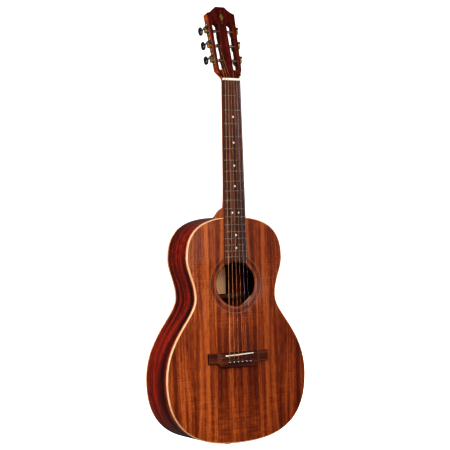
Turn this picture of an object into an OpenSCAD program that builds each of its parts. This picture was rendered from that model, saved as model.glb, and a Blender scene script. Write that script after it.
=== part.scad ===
// Twelve-fret parlour guitar with a slotted head, steel strings and six single tuning machines.
// It stands upright: +Z runs up the neck, +X to the treble side, +Y from the soundboard to the back.
// The origin is the centre of the strap button's outer end, at the tail of the body.

/* [Scale] */
// String length from the nut to the mean saddle line
scale_len = 609.6; // [560:0.1:650]
// Width of the fingerboard at the nut
nut_w = 44.8; // [42:0.1:50]
// Width of the fingerboard at the twelfth fret
board_w12 = 53.8; // [51:0.1:58]
// Distance from the first string to the sixth at the nut
nut_spread = 37.6; // [34:0.1:38]
// Distance from the first string to the sixth at the saddle
saddle_spread = 54; // [50:0.5:57]

/* [Body] */
// Length of the body
body_len = 505; // [470:1:560]
// Half width of the lower bout
lower_half = 180; // [165:1:200]
// Half width of the waist
waist_half = 103.5; // [95:0.5:112]
// Half width of the upper bout
upper_half = 123; // [114:1:135]
// Depth of the body at the tail, outside
depth_tail = 108; // [98:1:116]
// Depth of the body at the neck, outside
depth_heel = 91; // [86:1:97]
// Radius of the soundhole
hole_r = 50; // [45:0.5:54]

/* [Plates] */
// Thickness of the soundboard
top_t = 2.8; // [2.2:0.1:3.5]
// Thickness of the back
back_t = 2.6; // [2.2:0.1:3.5]
// Thickness of the sides, and width of the binding that covers their edge
side_t = 2.2; // [1.8:0.1:2.6]
// Height of the binding
bind_h = 6; // [4:0.5:8]
// Width of the linings
lining_w = 6; // [4:0.5:8]
// Height of the linings
lining_h = 15; // [10:1:20]
// Height of the braces
brace_h = 14; // [10:1:18]

/* [Neck] */
// Thickness of the fingerboard at its centre
board_t = 6.5; // [5.5:0.1:7.5]
// Radius of the fingerboard's crown
board_r = 400; // [300:10:500]
// Height of a fret above the board
fret_h = 1.1; // [0.8:0.1:1.4]
// Width of a fret's crown
fret_w = 2.4; // [2:0.1:2.9]
// Depth of the neck below the fingerboard at the nut
neck_d_nut = 15; // [13:0.5:17]
// Depth of the neck below the fingerboard at the heel
neck_d_heel = 17.5; // [16:0.5:20]
// How far the heel reaches back from the soundboard's face
heel_reach = 76; // [70:1:79]

/* [Headstock] */
// Angle of the headstock
head_tilt = 14.3; // [11:0.1:16]
// Thickness of the headstock with its veneer
head_t = 19; // [18:0.5:21]
// Thickness of the veneer
veneer_t = 2; // [1.2:0.1:3]
// Half width of the headstock at its shoulders
shoulder_half = 31; // [31:0.5:34]
// Half width of the headstock at its top corners
corner_half = 35.6; // [34:0.2:39]
// Height of the headstock's crown above the nut line
head_len = 176.8; // [172:0.2:190]
// Distance from the centre line to a slot's inner wall
slot_in = 9.4; // [8.5:0.1:10.5]
// Distance from the centre line to a slot's outer wall
slot_out = 27.4; // [25.5:0.1:27.5]

/* [Tuning machines] */
// Height of the first roller above the nut line
roller_s0 = 50.4; // [46:0.1:54]
// Spacing of the rollers
roller_pitch = 35; // [32:0.1:36]
// Radius of a roller
roller_r = 3; // [2.5:0.1:3.4]
// Depth of a roller's axis below the head's face
roller_depth = 10.4; // [9:0.1:11]
// Radial running clearance of rollers and worm shafts
run_gap = 0.05; // [0.02:0.01:0.09]
// Teeth of the gear
gear_teeth = 14; // [12:1:16]
// Distance from the roller's axis to the worm's axis
worm_lift = 8; // [7.8:0.1:8.4]
// Distance from the head's side to the worm's axis
worm_out = 6.2; // [6:0.1:7]
// Radius of the worm's pitch line
worm_pitch_r = 2.8; // [2.7:0.05:2.9]
// Radius of the worm's shaft
shaft_r = 1.5; // [1.2:0.1:1.7]
// Length of a button across its shaft
button_len = 19.5; // [16:0.5:22]
// Thickness of a button
button_t = 7.5; // [6:0.5:9]

/* [Bridge] */
// Half width of the bridge
bridge_half = 77.5; // [72:0.5:82]
// Thickness of the bridge in the middle
bridge_t = 8.8; // [8:0.1:10]
// Thickness of the bridge's wings
wing_t = 4.4; // [3:0.1:6]
// Width of the saddle's blade
saddle_w = 2.8; // [2.4:0.1:3.4]
// Height of the saddle's top above the bridge
saddle_rise = 2.8; // [2.4:0.1:4]
// Radius of a bridge pin's shank at the bridge
pin_r = 2.6; // [2.4:0.1:2.8]

/* [Strap button] */
// Distance that the strap button stands out of the tail
button_out = 9; // [8:0.5:14]
// Radius of the strap button's head
strap_r = 6.8; // [5.5:0.1:8]
// Length of the straight rim of the strap button's head
strap_rim = 2.4; // [1.5:0.1:3]

/* [Hidden] */
$fn = 48;
reach = 400;             // longer than any half size, for cutters

// ---- places that everything shares ----
tail_z = button_out;
face_y = -depth_tail / 2;                    // outer face of the soundboard
neck_z = tail_z + body_len;                  // end of the body at the neck
nut_z = neck_z + scale_len / 2;              // twelve frets clear of the body
bridge_line = nut_z - scale_len;             // height of the mean saddle line
hole_z = nut_z - scale_len * 0.7454;         // centre of the soundhole
back_tilt = atan((depth_tail - depth_heel) / body_len);
fret_count = 18;

// ---- body outline: four curves from the tail to the neck, on the treble side ----
lower_z = body_len * 0.289;
waist_z = body_len * 0.6455;
upper_z = body_len * 0.82;
steps = 14;
function bez(a, b, c, d, t) =
    pow(1 - t, 3) * a + 3 * t * pow(1 - t, 2) * b + 3 * t * t * (1 - t) * c + pow(t, 3) * d;
function run(a, b, c, d) = [for (i = [0:steps - 1]) bez(a, b, c, d, i / steps)];
half_line = concat(
    run([0, 0], [lower_half * 0.395, 0], [lower_half, lower_z * 0.07], [lower_half, lower_z]),
    run([lower_half, lower_z], [lower_half, lower_z + 96], [waist_half, waist_z - 42],
        [waist_half, waist_z]),
    run([waist_half, waist_z], [waist_half, waist_z + 36], [upper_half, upper_z - 29],
        [upper_half, upper_z]),
    run([upper_half, upper_z], [upper_half, upper_z + 56], [upper_half * 0.757, body_len],
        [0, body_len]),
    [[0, body_len]]
);
last = len(half_line) - 1;
function along(i) = let (v = half_line[min(i + 1, last)] - half_line[max(i - 1, 0)]) v / norm(v);
function normal(i) = i == 0 ? [0, -1] : i == last ? [0, 1] : [along(i)[1], -along(i)[0]];
function shrunk(d) = [for (i = [0:last]) half_line[i] - d * normal(i)];
function mirrored(line) = [for (i = [len(line) - 2:-1:1]) [-line[i][0], line[i][1]]];
function outline(d) = concat(shrunk(d), mirrored(shrunk(d)));

// the body's outline, shrunk by d, from y0 to y1
module plan(y0, y1, d = 0) {
    translate([0, y1, tail_z])
        rotate([90, 0, 0])
            linear_extrude(y1 - y0)
                polygon(outline(d));
}
module ring(y0, y1, d0, d1) {
    difference() {
        plan(y0, y1, d0);
        plan(y0 - 1, y1 + 1, d1);
    }
}
// layer parallel to the back: depths are measured inwards from its outer face
module back_layer(d0, d1) {
    translate([0, face_y + depth_tail, tail_z])
        rotate([back_tilt, 0, 0])
            translate([-reach, -d1, -40])
                cube([2 * reach, d1 - d0, body_len + 80]);
}
module box(lo, hi) {
    translate(lo)
        cube(hi - lo);
}
// round bar along Y from y0 to y1
module post(x, z, y0, y1, r) {
    translate([x, y1, z])
        rotate([90, 0, 0])
            cylinder(h = y1 - y0, r = r);
}
// flat shape drawn in X and Z, from y0 to y1
module panel(points, y0, y1) {
    translate([0, y1, 0])
        rotate([90, 0, 0])
            linear_extrude(y1 - y0)
                polygon(points);
}

// ---- soundhole and rosette ----
ring_w = 1.6;
ring_depth = 1;
ring_radii = [hole_r + 5.4, hole_r + 16.3];
module rosette_rings(extra = 0) {
    for (r = ring_radii)
        difference() {
            post(0, hole_z, face_y - extra, face_y + ring_depth, r);
            post(0, hole_z, face_y - extra - 1, face_y + ring_depth + 1, r - ring_w);
        }
}

// ---- neck joint, truss rod and strap button seats ----
block_half = 31;
block_h = 46;
tenon_y0 = face_y + top_t + 6;
tenon_y1 = face_y + 68;
tenon_in = 18;
tenon_neck = 10;            // half width of the dovetail where it leaves the neck
tenon_tail = 14;            // half width of the dovetail at its far end
tenon_gap = 0.1;
rod_w = 6;
rod_deep = 9.5;
rod_gap = 0.2;
rod_end_z = neck_z - block_h - 4;
rod_top_z = nut_z - 14;
shank_r = 3.4;
shank_in = 24;
tail_block_h = 18;
module dovetail(gap) {
    z1 = neck_z + 1;
    z0 = neck_z - side_t - tenon_in - gap;
    wide = tenon_tail + gap;
    slim = tenon_neck + gap;
    panel([[-slim, z1], [-slim, neck_z - side_t], [-wide, z0], [wide, z0],
           [slim, neck_z - side_t], [slim, z1]], tenon_y0 - gap, tenon_y1 + gap);
}
module rod_space(gap) {
    box([-rod_w / 2 - gap, face_y - 0.02, rod_end_z - 1],
        [rod_w / 2 + gap, face_y + rod_deep + gap, rod_top_z + gap]);
}

// ---- bridge ----
bridge_up = 3.6;            // upper edge above the saddle line
wing_down = 21.3;           // lower edge of the wings
belly_down = 30;            // lower edge of the belly
belly_half = 42;
shelf_half = 56;
pin_down = 18.3;
pin_gap = 0.12;
pin_len = 26;
pin_head = 3;
saddle_half = 36.5;
saddle_deep = 5.5;
saddle_slant = 2.35;
saddle_mid = bridge_line - 2.5;
bridge_y = face_y - bridge_t;
saddle_top = bridge_t + saddle_rise;    // above the soundboard
plate_t = 2.4;
function ease(t) = (1 - cos(180 * t)) / 2;
function belly(side) = [for (i = [0:8])
    let (t = side > 0 ? i / 8 : 1 - i / 8)
    [side * (shelf_half + (belly_half - shelf_half) * t),
     bridge_line - wing_down - (belly_down - wing_down) * ease(t)]];
bridge_shape = concat(
    [[-bridge_half + 1.5, bridge_line + bridge_up], [bridge_half - 1.5, bridge_line + bridge_up],
     [bridge_half, bridge_line + bridge_up - 1.5], [bridge_half, bridge_line - wing_down + 1.5],
     [bridge_half - 1.5, bridge_line - wing_down]],
    belly(1), belly(-1),
    [[-bridge_half + 1.5, bridge_line - wing_down], [-bridge_half, bridge_line - wing_down + 1.5],
     [-bridge_half, bridge_line + bridge_up - 1.5]]
);
function rise(side) = [for (i = [0:8])
    let (t = side > 0 ? 1 - i / 8 : i / 8)
    [side * (44 + 13 * (1 - t)), face_y - wing_t - (bridge_t - wing_t) * ease(t)]];
bridge_rise = concat([[-bridge_half, face_y], [-bridge_half, face_y - wing_t]], rise(-1),
    rise(1), [[bridge_half, face_y - wing_t], [bridge_half, face_y]]);

// ---- strings: 1 is the highest, 6 the lowest ----
string_r = [0, 0.15, 0.2, 0.31, 0.41, 0.53, 0.68];
nut_string_h = 8;                       // underside of the strings at the nut above the soundboard
function share(n) = (3.5 - n) / 5;      // -0.5 for the sixth string, 0.5 for the first
function crown(x) = board_r - sqrt(board_r * board_r - x * x);
function pin_x(n) = saddle_spread * share(n);
pin_z = bridge_line - pin_down;
function at_nut(n) = let (x = nut_spread * share(n))
    [x, face_y - nut_string_h + crown(x) - string_r[n], nut_z];
function saddle_z(x) = saddle_mid + x * tan(saddle_slant);
function at_saddle(n) = let (x = pin_x(n))
    [x, face_y - saddle_top + crown(x) - string_r[n], saddle_z(x)];
function leave_z(n) = pin_z + pin_r + pin_gap + string_r[n];
function at_hole(n) = [pin_x(n), bridge_y - string_r[n] - 0.1, leave_z(n)];
function at_ball(n) = [pin_x(n), face_y + top_t + plate_t + 2.1, leave_z(n)];

// ---- headstock frame: local Z runs up the head's face, local Y goes into the wood ----
head_y = face_y - 4.85;
shoulder_s = 28.6;
corner_s = head_len - 16;
crown_half = 11.6;
slot_s0 = 27;
slot_s1 = roller_s0 + 2 * roller_pitch + 20;
nut_deep = 5;
nut_seat = 2.2;             // how far the nut's foot is in front of the soundboard plane
flare = atan((corner_half - shoulder_half) / (corner_s - shoulder_s));
function head_half(s) = shoulder_half + (s - shoulder_s) * tan(flare);
module at_head() {
    translate([0, head_y, nut_z])
        rotate([-head_tilt, 0, 0])
            children();
}
head_side = concat(
    [[nut_w / 2, -6]],
    [for (i = [0:6]) [nut_w / 2 + (shoulder_half - nut_w / 2) * ease(i / 6), 5.5 + i * 23.1 / 6]],
    [for (i = [0:6]) [corner_half - i * (corner_half - crown_half) / 6,
        corner_s + (head_len - corner_s) * (0.35 * i / 6 + 0.65 * i * i / 36)]]
);
head_shape = concat(head_side,
    [for (i = [len(head_side) - 1:-1:0]) [-head_side[i][0], head_side[i][1]]]);
module head_layer(y0, y1) {
    difference() {
        intersection() {
            at_head()
                panel(head_shape, y0, y1);
            box([-reach, -reach, nut_z], [reach, reach, nut_z + reach]);
        }
        at_head()
            for (side = [-1, 1])
                head_slot(side);
        box([-reach, -reach, nut_z - 1], [reach, face_y - nut_seat, nut_z + nut_deep]);
    }
}
// half circle about a point on the centre line, starting at an angle
function arc(s, r, a0) = [for (i = [0:14]) [r * cos(a0 + i * 180 / 14), s + r * sin(a0 + i * 180 / 14)]];
// through slot with round ends, and the ramp that lets the strings down into it
module head_slot(side) {
    mid = (slot_in + slot_out) / 2;
    r = (slot_out - slot_in) / 2;
    translate([side * mid, 0, 0]) {
        panel(concat(arc(slot_s1 - r, r, 0), arc(slot_s0 + r, r, 180)), -1, head_t + 1);
        translate([0, 0, ramp_s0])
            rotate([-ramp_angle, 0, 0])
                box([-r + 0.5, -12, 0], [r - 0.5, 0, slot_s0 + r - ramp_s0]);
    }
}
ramp_s0 = 11;               // where the ramp starts on the head's face
ramp_angle = 17;

// ---- tuning machines: unit frame at the head's side on a roller's axis, +X outwards ----
function side_of(n) = n > 3 ? -1 : 1;
function row_of(n) = n > 3 ? 6 - n : n - 1;
function roller_s(n) = roller_s0 + row_of(n) * roller_pitch;
module at_unit(n) {
    at_head()
        mirror([side_of(n) < 0 ? 1 : 0, 0, 0])
            translate([head_half(roller_s(n)), roller_depth, roller_s(n)])
                rotate([0, flare, 0])
                    children();
}
plate_thick = 1.2;
gear_r = worm_lift - worm_pitch_r;
lead = 2 * PI * gear_r / gear_teeth;
gear_w = 3;
gear_tip = gear_r + 0.55;
gear_root = gear_r - 0.85;
thread_tip = worm_pitch_r + 0.6;
thread_root = worm_pitch_r - 0.7;
thread_half = 3.3;
ear_in = 3.5;               // inner faces of the ears that carry the worm
ear_t = 1.7;
wrap_gap = 0.15;            // between a taut string and the turns beside it
string_hole_r = 0.8;
function wrap_x(n) = [0, 20.2, 20.2, 21.4, 21.6, 19.6, 18.6][n];    // where a string meets its roller
function wrap_turns(n) = n < 3 ? 7 : 4;
// inner end of the turns: they are laid outwards from the string's hole
function wrap_start(n) = wrap_x(n) - wrap_gap - string_r[n] * (1 + 2 * wrap_turns(n));
function end_of_roller(n) = 5.2 - head_half(roller_s(n));
module bar_x(x0, x1, r) {
    translate([x0, 0, 0])
        rotate([0, 90, 0])
            cylinder(h = x1 - x0, r = r);
}
function at_roller(n) = [side_of(n) * wrap_x(n),
    roller_depth - roller_r - string_r[n] - wrap_gap, roller_s(n)];
function from_head(p) = [p[0],
    head_y + p[1] * cos(head_tilt) + p[2] * sin(head_tilt),
    nut_z - p[1] * sin(head_tilt) + p[2] * cos(head_tilt)];

// ---- body ----
module soundboard() {
    color("#b5652f")
        difference() {
            plan(face_y, face_y + top_t, side_t);
            post(0, hole_z, face_y - 1, face_y + top_t + 1, hole_r);
            rosette_rings(1);
            pin_holes();
            rod_space(rod_gap);
        }
}
module back() {
    color("#6e2416")
        intersection() {
            plan(0, depth_tail, side_t);
            back_layer(0, back_t);
        }
}
module side(s) {
    color("#7c2416")
        difference() {
            intersection() {
                ring(face_y + bind_h, depth_tail, 0, side_t);
                back_layer(bind_h, reach);
                box([s > 0 ? 0 : -reach, -reach, 0], [s > 0 ? reach : 0, reach, reach * 2]);
            }
            dovetail(tenon_gap);
            post_hole();
            rod_space(rod_gap);
        }
}
module post_hole() {
    translate([0, 0, -1])
        cylinder(h = shank_in + button_out + 2, r = shank_r + 0.05);
}
module top_binding() {
    color("#e6c79a")
        difference() {
            ring(face_y, face_y + bind_h, 0, side_t);
            rod_space(rod_gap);
        }
}
module back_binding() {
    color("#e6c79a")
        intersection() {
            ring(0, depth_tail, 0, side_t);
            back_layer(0, bind_h);
        }
}
module blocks_room() {
    box([-block_half - 0.2, -reach, neck_z - 60], [block_half + 0.2, reach, neck_z + 1]);
    box([-block_half - 0.2, -reach, 0], [block_half + 0.2, reach, tail_z + 30]);
}
module linings() {
    color("#c08a5a")
        difference() {
            union() {
                ring(face_y + top_t, face_y + top_t + lining_h, side_t, side_t + lining_w);
                intersection() {
                    ring(0, depth_tail, side_t, side_t + lining_w);
                    back_layer(back_t, back_t + lining_h);
                }
            }
            blocks_room();
        }
}
module block(z0, z1) {
    intersection() {
        plan(face_y + top_t, depth_tail, side_t);
        back_layer(back_t, reach);
        box([-block_half, -reach, z0], [block_half, reach, z1]);
    }
}
module neck_block() {
    color("#8a4a2a")
        difference() {
            block(neck_z - block_h, neck_z);
            dovetail(tenon_gap);
            rod_space(0.5);
        }
}
module tail_block() {
    color("#8a4a2a")
        difference() {
            block(tail_z, tail_z + tail_block_h);
            post_hole();
        }
}
module bar(x, z, turn, length, width, tall) {
    translate([x, face_y + top_t, z])
        rotate([0, turn, 0])
            translate([-length / 2, 0, -width / 2])
                cube([length, tall, width]);
}
module top_braces() {
    cross_z = hole_z - hole_r - 22;
    color("#d9b483")
        intersection() {
            plan(face_y + top_t, face_y + top_t + brace_h, side_t + lining_w + 0.2);
            union() {
                bar(0, cross_z, 41, 2 * reach, 7, brace_h);
                bar(0, cross_z, -41, 2 * reach, 7, brace_h);
                bar(0, hole_z + hole_r + 19, 0, 2 * reach, 10, brace_h);
                bar(0, tail_z + 92, 24, 190, 6, brace_h * 0.6);
                bar(0, tail_z + 50, 24, 150, 6, brace_h * 0.6);
            }
        }
}
module back_braces() {
    color("#d9b483")
        intersection() {
            plan(0, depth_tail, side_t + lining_w + 0.2);
            back_layer(back_t, back_t + brace_h);
            for (share_z = [0.14, 0.4, 0.64, 0.83])
                box([-reach, -reach, tail_z + share_z * body_len - 6],
                    [reach, reach, tail_z + share_z * body_len + 6]);
        }
}
module bridge_plate() {
    color("#c89058")
        difference() {
            panel([[-64, pin_z - 20], [64, pin_z - 20], [50, pin_z + 18], [-50, pin_z + 18]],
                face_y + top_t, face_y + top_t + plate_t);
            pin_holes();
        }
}
module rosette() {
    color("#b9ab98")
        rosette_rings();
}
module pin_holes() {
    for (n = [1:6]) {
        post(pin_x(n), pin_z, bridge_y - 1, face_y + 20, pin_r + pin_gap);
        box([pin_x(n) - string_r[n] - 0.1, bridge_y - 1, pin_z],
            [pin_x(n) + string_r[n] + 0.1, face_y + 20, leave_z(n) + string_r[n] + 0.1]);
    }
}

// ---- neck ----
function board_half(z) = (nut_w + (board_w12 - nut_w) * (nut_z - z) / (scale_len / 2)) / 2;
function neck_depth(z) = neck_d_nut + (neck_d_heel - neck_d_nut) * (nut_z - z) / (scale_len / 2);
arc_n = 18;
shaft_z = [for (i = [0:8]) neck_z - 4 + i * (nut_z - neck_z + 4) / 8];
// stack of equal rings of points, closed at both ends
module loft(rings) {
    m = len(rings[0]);
    k = len(rings);
    polyhedron([for (r = rings) for (p = r) p], concat(
        [[for (j = [m - 1:-1:0]) j]],
        [for (i = [0:k - 2]) for (j = [0:m - 1])
            [i * m + j, i * m + (j + 1) % m, (i + 1) * m + (j + 1) % m, (i + 1) * m + j]],
        [[for (j = [0:m - 1]) (k - 1) * m + j]]
    ));
}
function shaft_ring(z) = [for (j = [0:arc_n]) let (a = 180 - 180 * j / arc_n)
    [board_half(z) * cos(a), face_y + neck_depth(z) * sin(a), z]];
// the heel narrows backwards and its length above the body shortens towards its cap
heel_rings = 10;
function heel_y(t) = 4 + (heel_reach - 4) * t;
function heel_half(t) = 26.5 - 16.5 * pow(t, 0.8);
function heel_up(t) = 23.5 + 42 * pow(1 - t, 7) - 20 * pow(t, 5);
function heel_ring(t) = concat(
    [[heel_half(t), face_y + heel_y(t), neck_z - 8]],
    [for (j = [0:arc_n]) let (a = 180 * j / arc_n)
        [heel_half(t) * cos(a), face_y + heel_y(t), neck_z + heel_up(t) * sin(a)]],
    [[-heel_half(t), face_y + heel_y(t), neck_z - 8]]);
module neck() {
    color("#7d3a22")
        difference() {
            union() {
                difference() {
                    union() {
                        loft([for (z = shaft_z) shaft_ring(z)]);
                        loft([for (i = [0:heel_rings]) heel_ring(i / heel_rings)]);
                    }
                    plan(face_y - 1, face_y + depth_tail, 0);
                }
                dovetail(0);
            }
            rod_space(rod_gap);
        }
}
cap_t = 2;
module heel_cap() {
    color("#3a2018")
        difference() {
            loft([for (y = [heel_reach, heel_reach + cap_t])
                [for (p = heel_ring(1)) [p[0], face_y + y, p[2]]]]);
            plan(face_y - 1, face_y + depth_tail + 1, 0);
        }
}
module truss_rod() {
    color("#8d9094") {
        box([-rod_w / 2, face_y, neck_z - block_h + 6],
            [rod_w / 2, face_y + rod_deep, rod_top_z]);
        translate([0, face_y + rod_deep / 2 + 1.6, rod_end_z])
            difference() {
                cylinder(h = 12, r = 3);
                translate([0, 0, -1])
                    cylinder(h = 7, r = 2, $fn = 6);
            }
    }
}
board_end = nut_z - scale_len * 0.6742;
function fret_z(n) = nut_z - scale_len * (1 - pow(2, -n / 12));
tang_w = 0.56;
tang_deep = 1.8;
// body of revolution about the crown's axis, between two radii
module crowned(z0, z1, y_out, y_in) {
    translate([0, face_y - board_t + board_r, 0])
        rotate([0, 0, 270 - 5])
            rotate_extrude(angle = 10, $fn = 256)
                polygon([[board_r - y_in, z0], [board_r + y_out, z0],
                         [board_r + y_out, z1], [board_r - y_in, z1]]);
}
module board_plan(y0, y1) {
    panel([[-board_half(board_end), board_end], [board_half(board_end), board_end],
           [board_half(nut_z), nut_z], [-board_half(nut_z), nut_z]], y0, y1);
}
module fingerboard() {
    color("#4f3020")
        difference() {
            intersection() {
                board_plan(face_y - board_t - 1, face_y);
                translate([0, face_y - board_t + board_r, board_end - 1])
                    cylinder(h = nut_z - board_end + 2, r = board_r, $fn = 256);
            }
            post(0, hole_z, face_y - 20, face_y + 1, hole_r);
            for (n = [1:fret_count])
                box([-reach, face_y - board_t - 1, fret_z(n) - tang_w / 2],
                    [reach, face_y - board_t + tang_deep, fret_z(n) + tang_w / 2]);
            dots(1);
        }
}
module frets() {
    color("#a9a59a")
        for (n = [1:fret_count])
            intersection() {
                box([-board_half(fret_z(n)), -reach, fret_z(n) - 3],
                    [board_half(fret_z(n)), 0, fret_z(n) + 3]);
                union() {
                    crowned(fret_z(n) - fret_w / 2, fret_z(n) + fret_w / 2, fret_h * 0.6, 0);
                    crowned(fret_z(n) - fret_w * 0.3, fret_z(n) + fret_w * 0.3, fret_h, 0);
                    box([-reach, face_y - board_t - fret_h * 0.3, fret_z(n) - tang_w / 2],
                        [reach, face_y - board_t + tang_deep, fret_z(n) + tang_w / 2]);
                }
            }
}
dot_r = 2.4;
dot_deep = 1.2;
dot_spread = 8;
function between(n) = (fret_z(n) + fret_z(n - 1)) / 2;
module dots(extra) {
    for (n = [3, 5, 7, 9, 15, 17])
        post(0, between(n), face_y - board_t - extra, face_y - board_t + dot_deep, dot_r);
    for (x = [-dot_spread, dot_spread])
        post(x, between(12), face_y - board_t + crown(dot_spread) - extra,
            face_y - board_t + dot_deep, dot_r);
}
// plain lozenge and two dots let into the head's veneer
motif_deep = 0.8;
motif_s = corner_s - 9;
module motif(y0) {
    at_head() {
        panel([[0, motif_s + 11], [5.5, motif_s], [0, motif_s - 11], [-5.5, motif_s]],
            y0, motif_deep);
        post(0, motif_s + 14.5, y0, motif_deep, 1.3);
        post(0, motif_s - 14.5, y0, motif_deep, 1.3);
    }
}
module inlays() {
    color("#e9e2d2") {
        dots(0);
        motif(0);
    }
}
module nut() {
    top_y = face_y - nut_string_h;
    color("#efe9dc")
        difference() {
            intersection() {
                box([-nut_w / 2, top_y - 1.6, nut_z], [nut_w / 2, face_y - nut_seat, nut_z + nut_deep]);
                translate([0, top_y - 0.5 + board_r, nut_z - 1])
                    cylinder(h = nut_deep + 2, r = board_r, $fn = 256);
            }
            for (n = [1:6])
                string_slot(n);
        }
}
// groove that a string lies in, open at the top
module string_slot(n) {
    p = at_nut(n);
    q = from_head(at_roller(n));
    v = (q - p) / norm(q - p);
    w = string_r[n] + 0.04;
    translate(p)
        rotate([-atan2(v[1], v[2]), 0, 0])
            rotate([0, asin(v[0]), 0])
                box([-w, -6, -4], [w, w, 14]);
}

// ---- bridge ----
module saddle_blade(y0, y1, grow) {
    translate([0, 0, saddle_mid])
        rotate([0, -saddle_slant, 0])
            box([-saddle_half - grow, y0, -saddle_w / 2 - grow],
                [saddle_half + grow, y1, saddle_w / 2 + grow]);
}
module saddle() {
    color("#efe9dc")
        intersection() {
            saddle_blade(face_y - saddle_top - 2, bridge_y + saddle_deep, 0);
            translate([0, face_y - saddle_top + board_r, saddle_mid - 20])
                cylinder(h = 40, r = board_r, $fn = 256);
        }
}
module bridge() {
    color("#4a2a20")
        difference() {
            intersection() {
                panel(bridge_shape, face_y - bridge_t - 1, face_y);
                translate([0, 0, bridge_line - 60])
                    linear_extrude(90)
                        polygon(bridge_rise);
            }
            saddle_blade(face_y - bridge_t - 2, bridge_y + saddle_deep, 0.03);
            pin_holes();
        }
}
module bridge_pins() {
    color("#1b1a1a")
        for (n = [1:6])
            difference() {
                translate([pin_x(n), bridge_y, pin_z])
                    rotate([-90, 0, 0]) {
                        cylinder(h = pin_len, r1 = pin_r, r2 = pin_r - 0.4);
                        rotate_extrude()
                            polygon([[0, -pin_head], [2, -pin_head + 0.2], [3.3, -2.1], [3.9, -1.1],
                                     [3.7, -0.5], [pin_r, 0], [0, 0]]);
                    }
                pin_groove(n);
            }
}
// groove along a pin that its string lies in
module pin_groove(n) {
    w = string_r[n] + 0.15;
    box([pin_x(n) - w, bridge_y - 2 * string_r[n] - 0.4, leave_z(n) - w],
        [pin_x(n) + w, bridge_y + pin_len + 1, pin_z + 2 * pin_r]);
}
module strap_button() {
    color("#161515")
        rotate_extrude()
            polygon([[0, 0], [strap_r, 0], [strap_r, strap_rim], [strap_r - 1.4, strap_rim + 1],
                     [4.2, strap_rim + 2.4], [4.4, button_out - 1.6], [6, button_out],
                     [shank_r, button_out], [shank_r - 0.3, button_out + shank_in],
                     [0, button_out + shank_in]]);
}

// ---- head ----
module headstock() {
    color("#8a4326")
        difference() {
            head_layer(veneer_t, head_t);
            for (n = [1:6])
                at_unit(n) {
                    bar_x(slot_out - head_half(roller_s(n)) - 2, 1, roller_r + 0.5);
                    bar_x(end_of_roller(n) - 0.4, -slot_out + 15, roller_r + run_gap);
                    for (z = screw_z)
                        translate([0, 0, z])
                            bar_x(-screw_in, 1, screw_r);
                }
        }
}
module head_veneer() {
    color("#2c1410")
        difference() {
            head_layer(0, veneer_t);
            motif(-1);
        }
}

// ---- tuning machines ----
screw_z = [-8.4, 15];
screw_r = 1.1;
screw_in = 8;
module tuner_plates() {
    color("#6d6a66")
        for (n = [1:6])
            at_unit(n)
                difference() {
                    union() {
                        box([0, -6, screw_z[0]], [plate_thick, 6, screw_z[1]]);
                        for (z = screw_z)
                            translate([0, 0, z])
                                bar_x(0, plate_thick, 3.2);
                        for (y = [-ear_in - ear_t, ear_in])
                            box([plate_thick, y, worm_lift - 3], [worm_out, y + ear_t, worm_lift + 3]);
                        for (y = [-ear_in - ear_t, ear_in])
                            post(worm_out, worm_lift, y, y + ear_t, 3);
                    }
                    bar_x(-1, plate_thick + 1, roller_r + run_gap);
                    post(worm_out, worm_lift, -ear_in - ear_t - 1, ear_in + ear_t + 1,
                        shaft_r + run_gap);
                    for (z = screw_z)
                        translate([0, 0, z])
                            bar_x(-1, plate_thick + 1, screw_r);
                }
}
module tuner_screws() {
    color("#8f8b84")
        for (n = [1:6])
            at_unit(n)
                for (z = screw_z)
                    translate([0, 0, z]) {
                        bar_x(-screw_in, plate_thick, screw_r);
                        difference() {
                            bar_x(plate_thick, plate_thick + 1.1, 2.3);
                            box([plate_thick + 0.6, -3, -0.3], [plate_thick + 2, 3, 0.3]);
                        }
                    }
}
// one thread turn is a ring of four-cornered sections that climbs along Y
turn_steps = 20;
module thread() {
    turns = (2 * thread_half - 1.6) / lead;
    count = ceil(turns * turn_steps);
    points = [for (i = [0:count])
        let (t = i / turn_steps - turns / 2, a = 360 * t + 180, y = t * lead)
        for (c = [[thread_root - 0.3, -0.75], [thread_tip, -0.22],
                  [thread_tip, 0.22], [thread_root - 0.3, 0.75]])
            [c[0] * sin(a), y + c[1], c[0] * cos(a)]];
    polyhedron(points, concat(
        [[3, 2, 1, 0]],
        [for (i = [0:count - 1]) for (j = [0:3])
            [4 * i + (j + 1) % 4, 4 * i + 4 + (j + 1) % 4, 4 * i + 4 + j, 4 * i + j]],
        [[4 * count, 4 * count + 1, 4 * count + 2, 4 * count + 3]]
    ));
}
shaft_front = ear_in + ear_t + 2.2;
button_y = 15;
button_deep = 14;
module worm(n) {
    color("#6d6a66")
        at_unit(n)
            translate([worm_out, 0, worm_lift]) {
                post(0, 0, -shaft_front, button_y + 8, shaft_r);
                post(0, 0, -thread_half, thread_half, thread_root);
                post(0, 0, -shaft_front, -ear_in - ear_t - 0.1, 2.7);
                post(0, 0, ear_in + ear_t + 0.1, ear_in + ear_t + 2, 2.7);
                thread();
            }
}
module button(n) {
    r = button_deep / 2;
    shift = button_len / 2 - r;
    color("#171616")
        at_unit(n)
            translate([worm_out, button_y + r, worm_lift])
                difference() {
                    union() {
                        for (z = [-shift, shift])
                            translate([0, 0, z])
                                bar_x(-button_t / 2, button_t / 2, r);
                        box([-button_t / 2, -r, -shift], [button_t / 2, r, shift]);
                        post(0, 0, -r - 2.5, 0, 2.6);
                    }
                    post(0, 0, -r - 3, 8 - r, shaft_r);
                }
}
function tooth(i) = let (a = 360 * i / gear_teeth, w = 57.3)
    [for (c = [[gear_root, -0.62], [gear_tip, -0.24], [gear_tip, 0.24], [gear_root, 0.62]])
        [c[0] * cos(a + w * c[1] / c[0]), c[0] * sin(a + w * c[1] / c[0])]];
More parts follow.
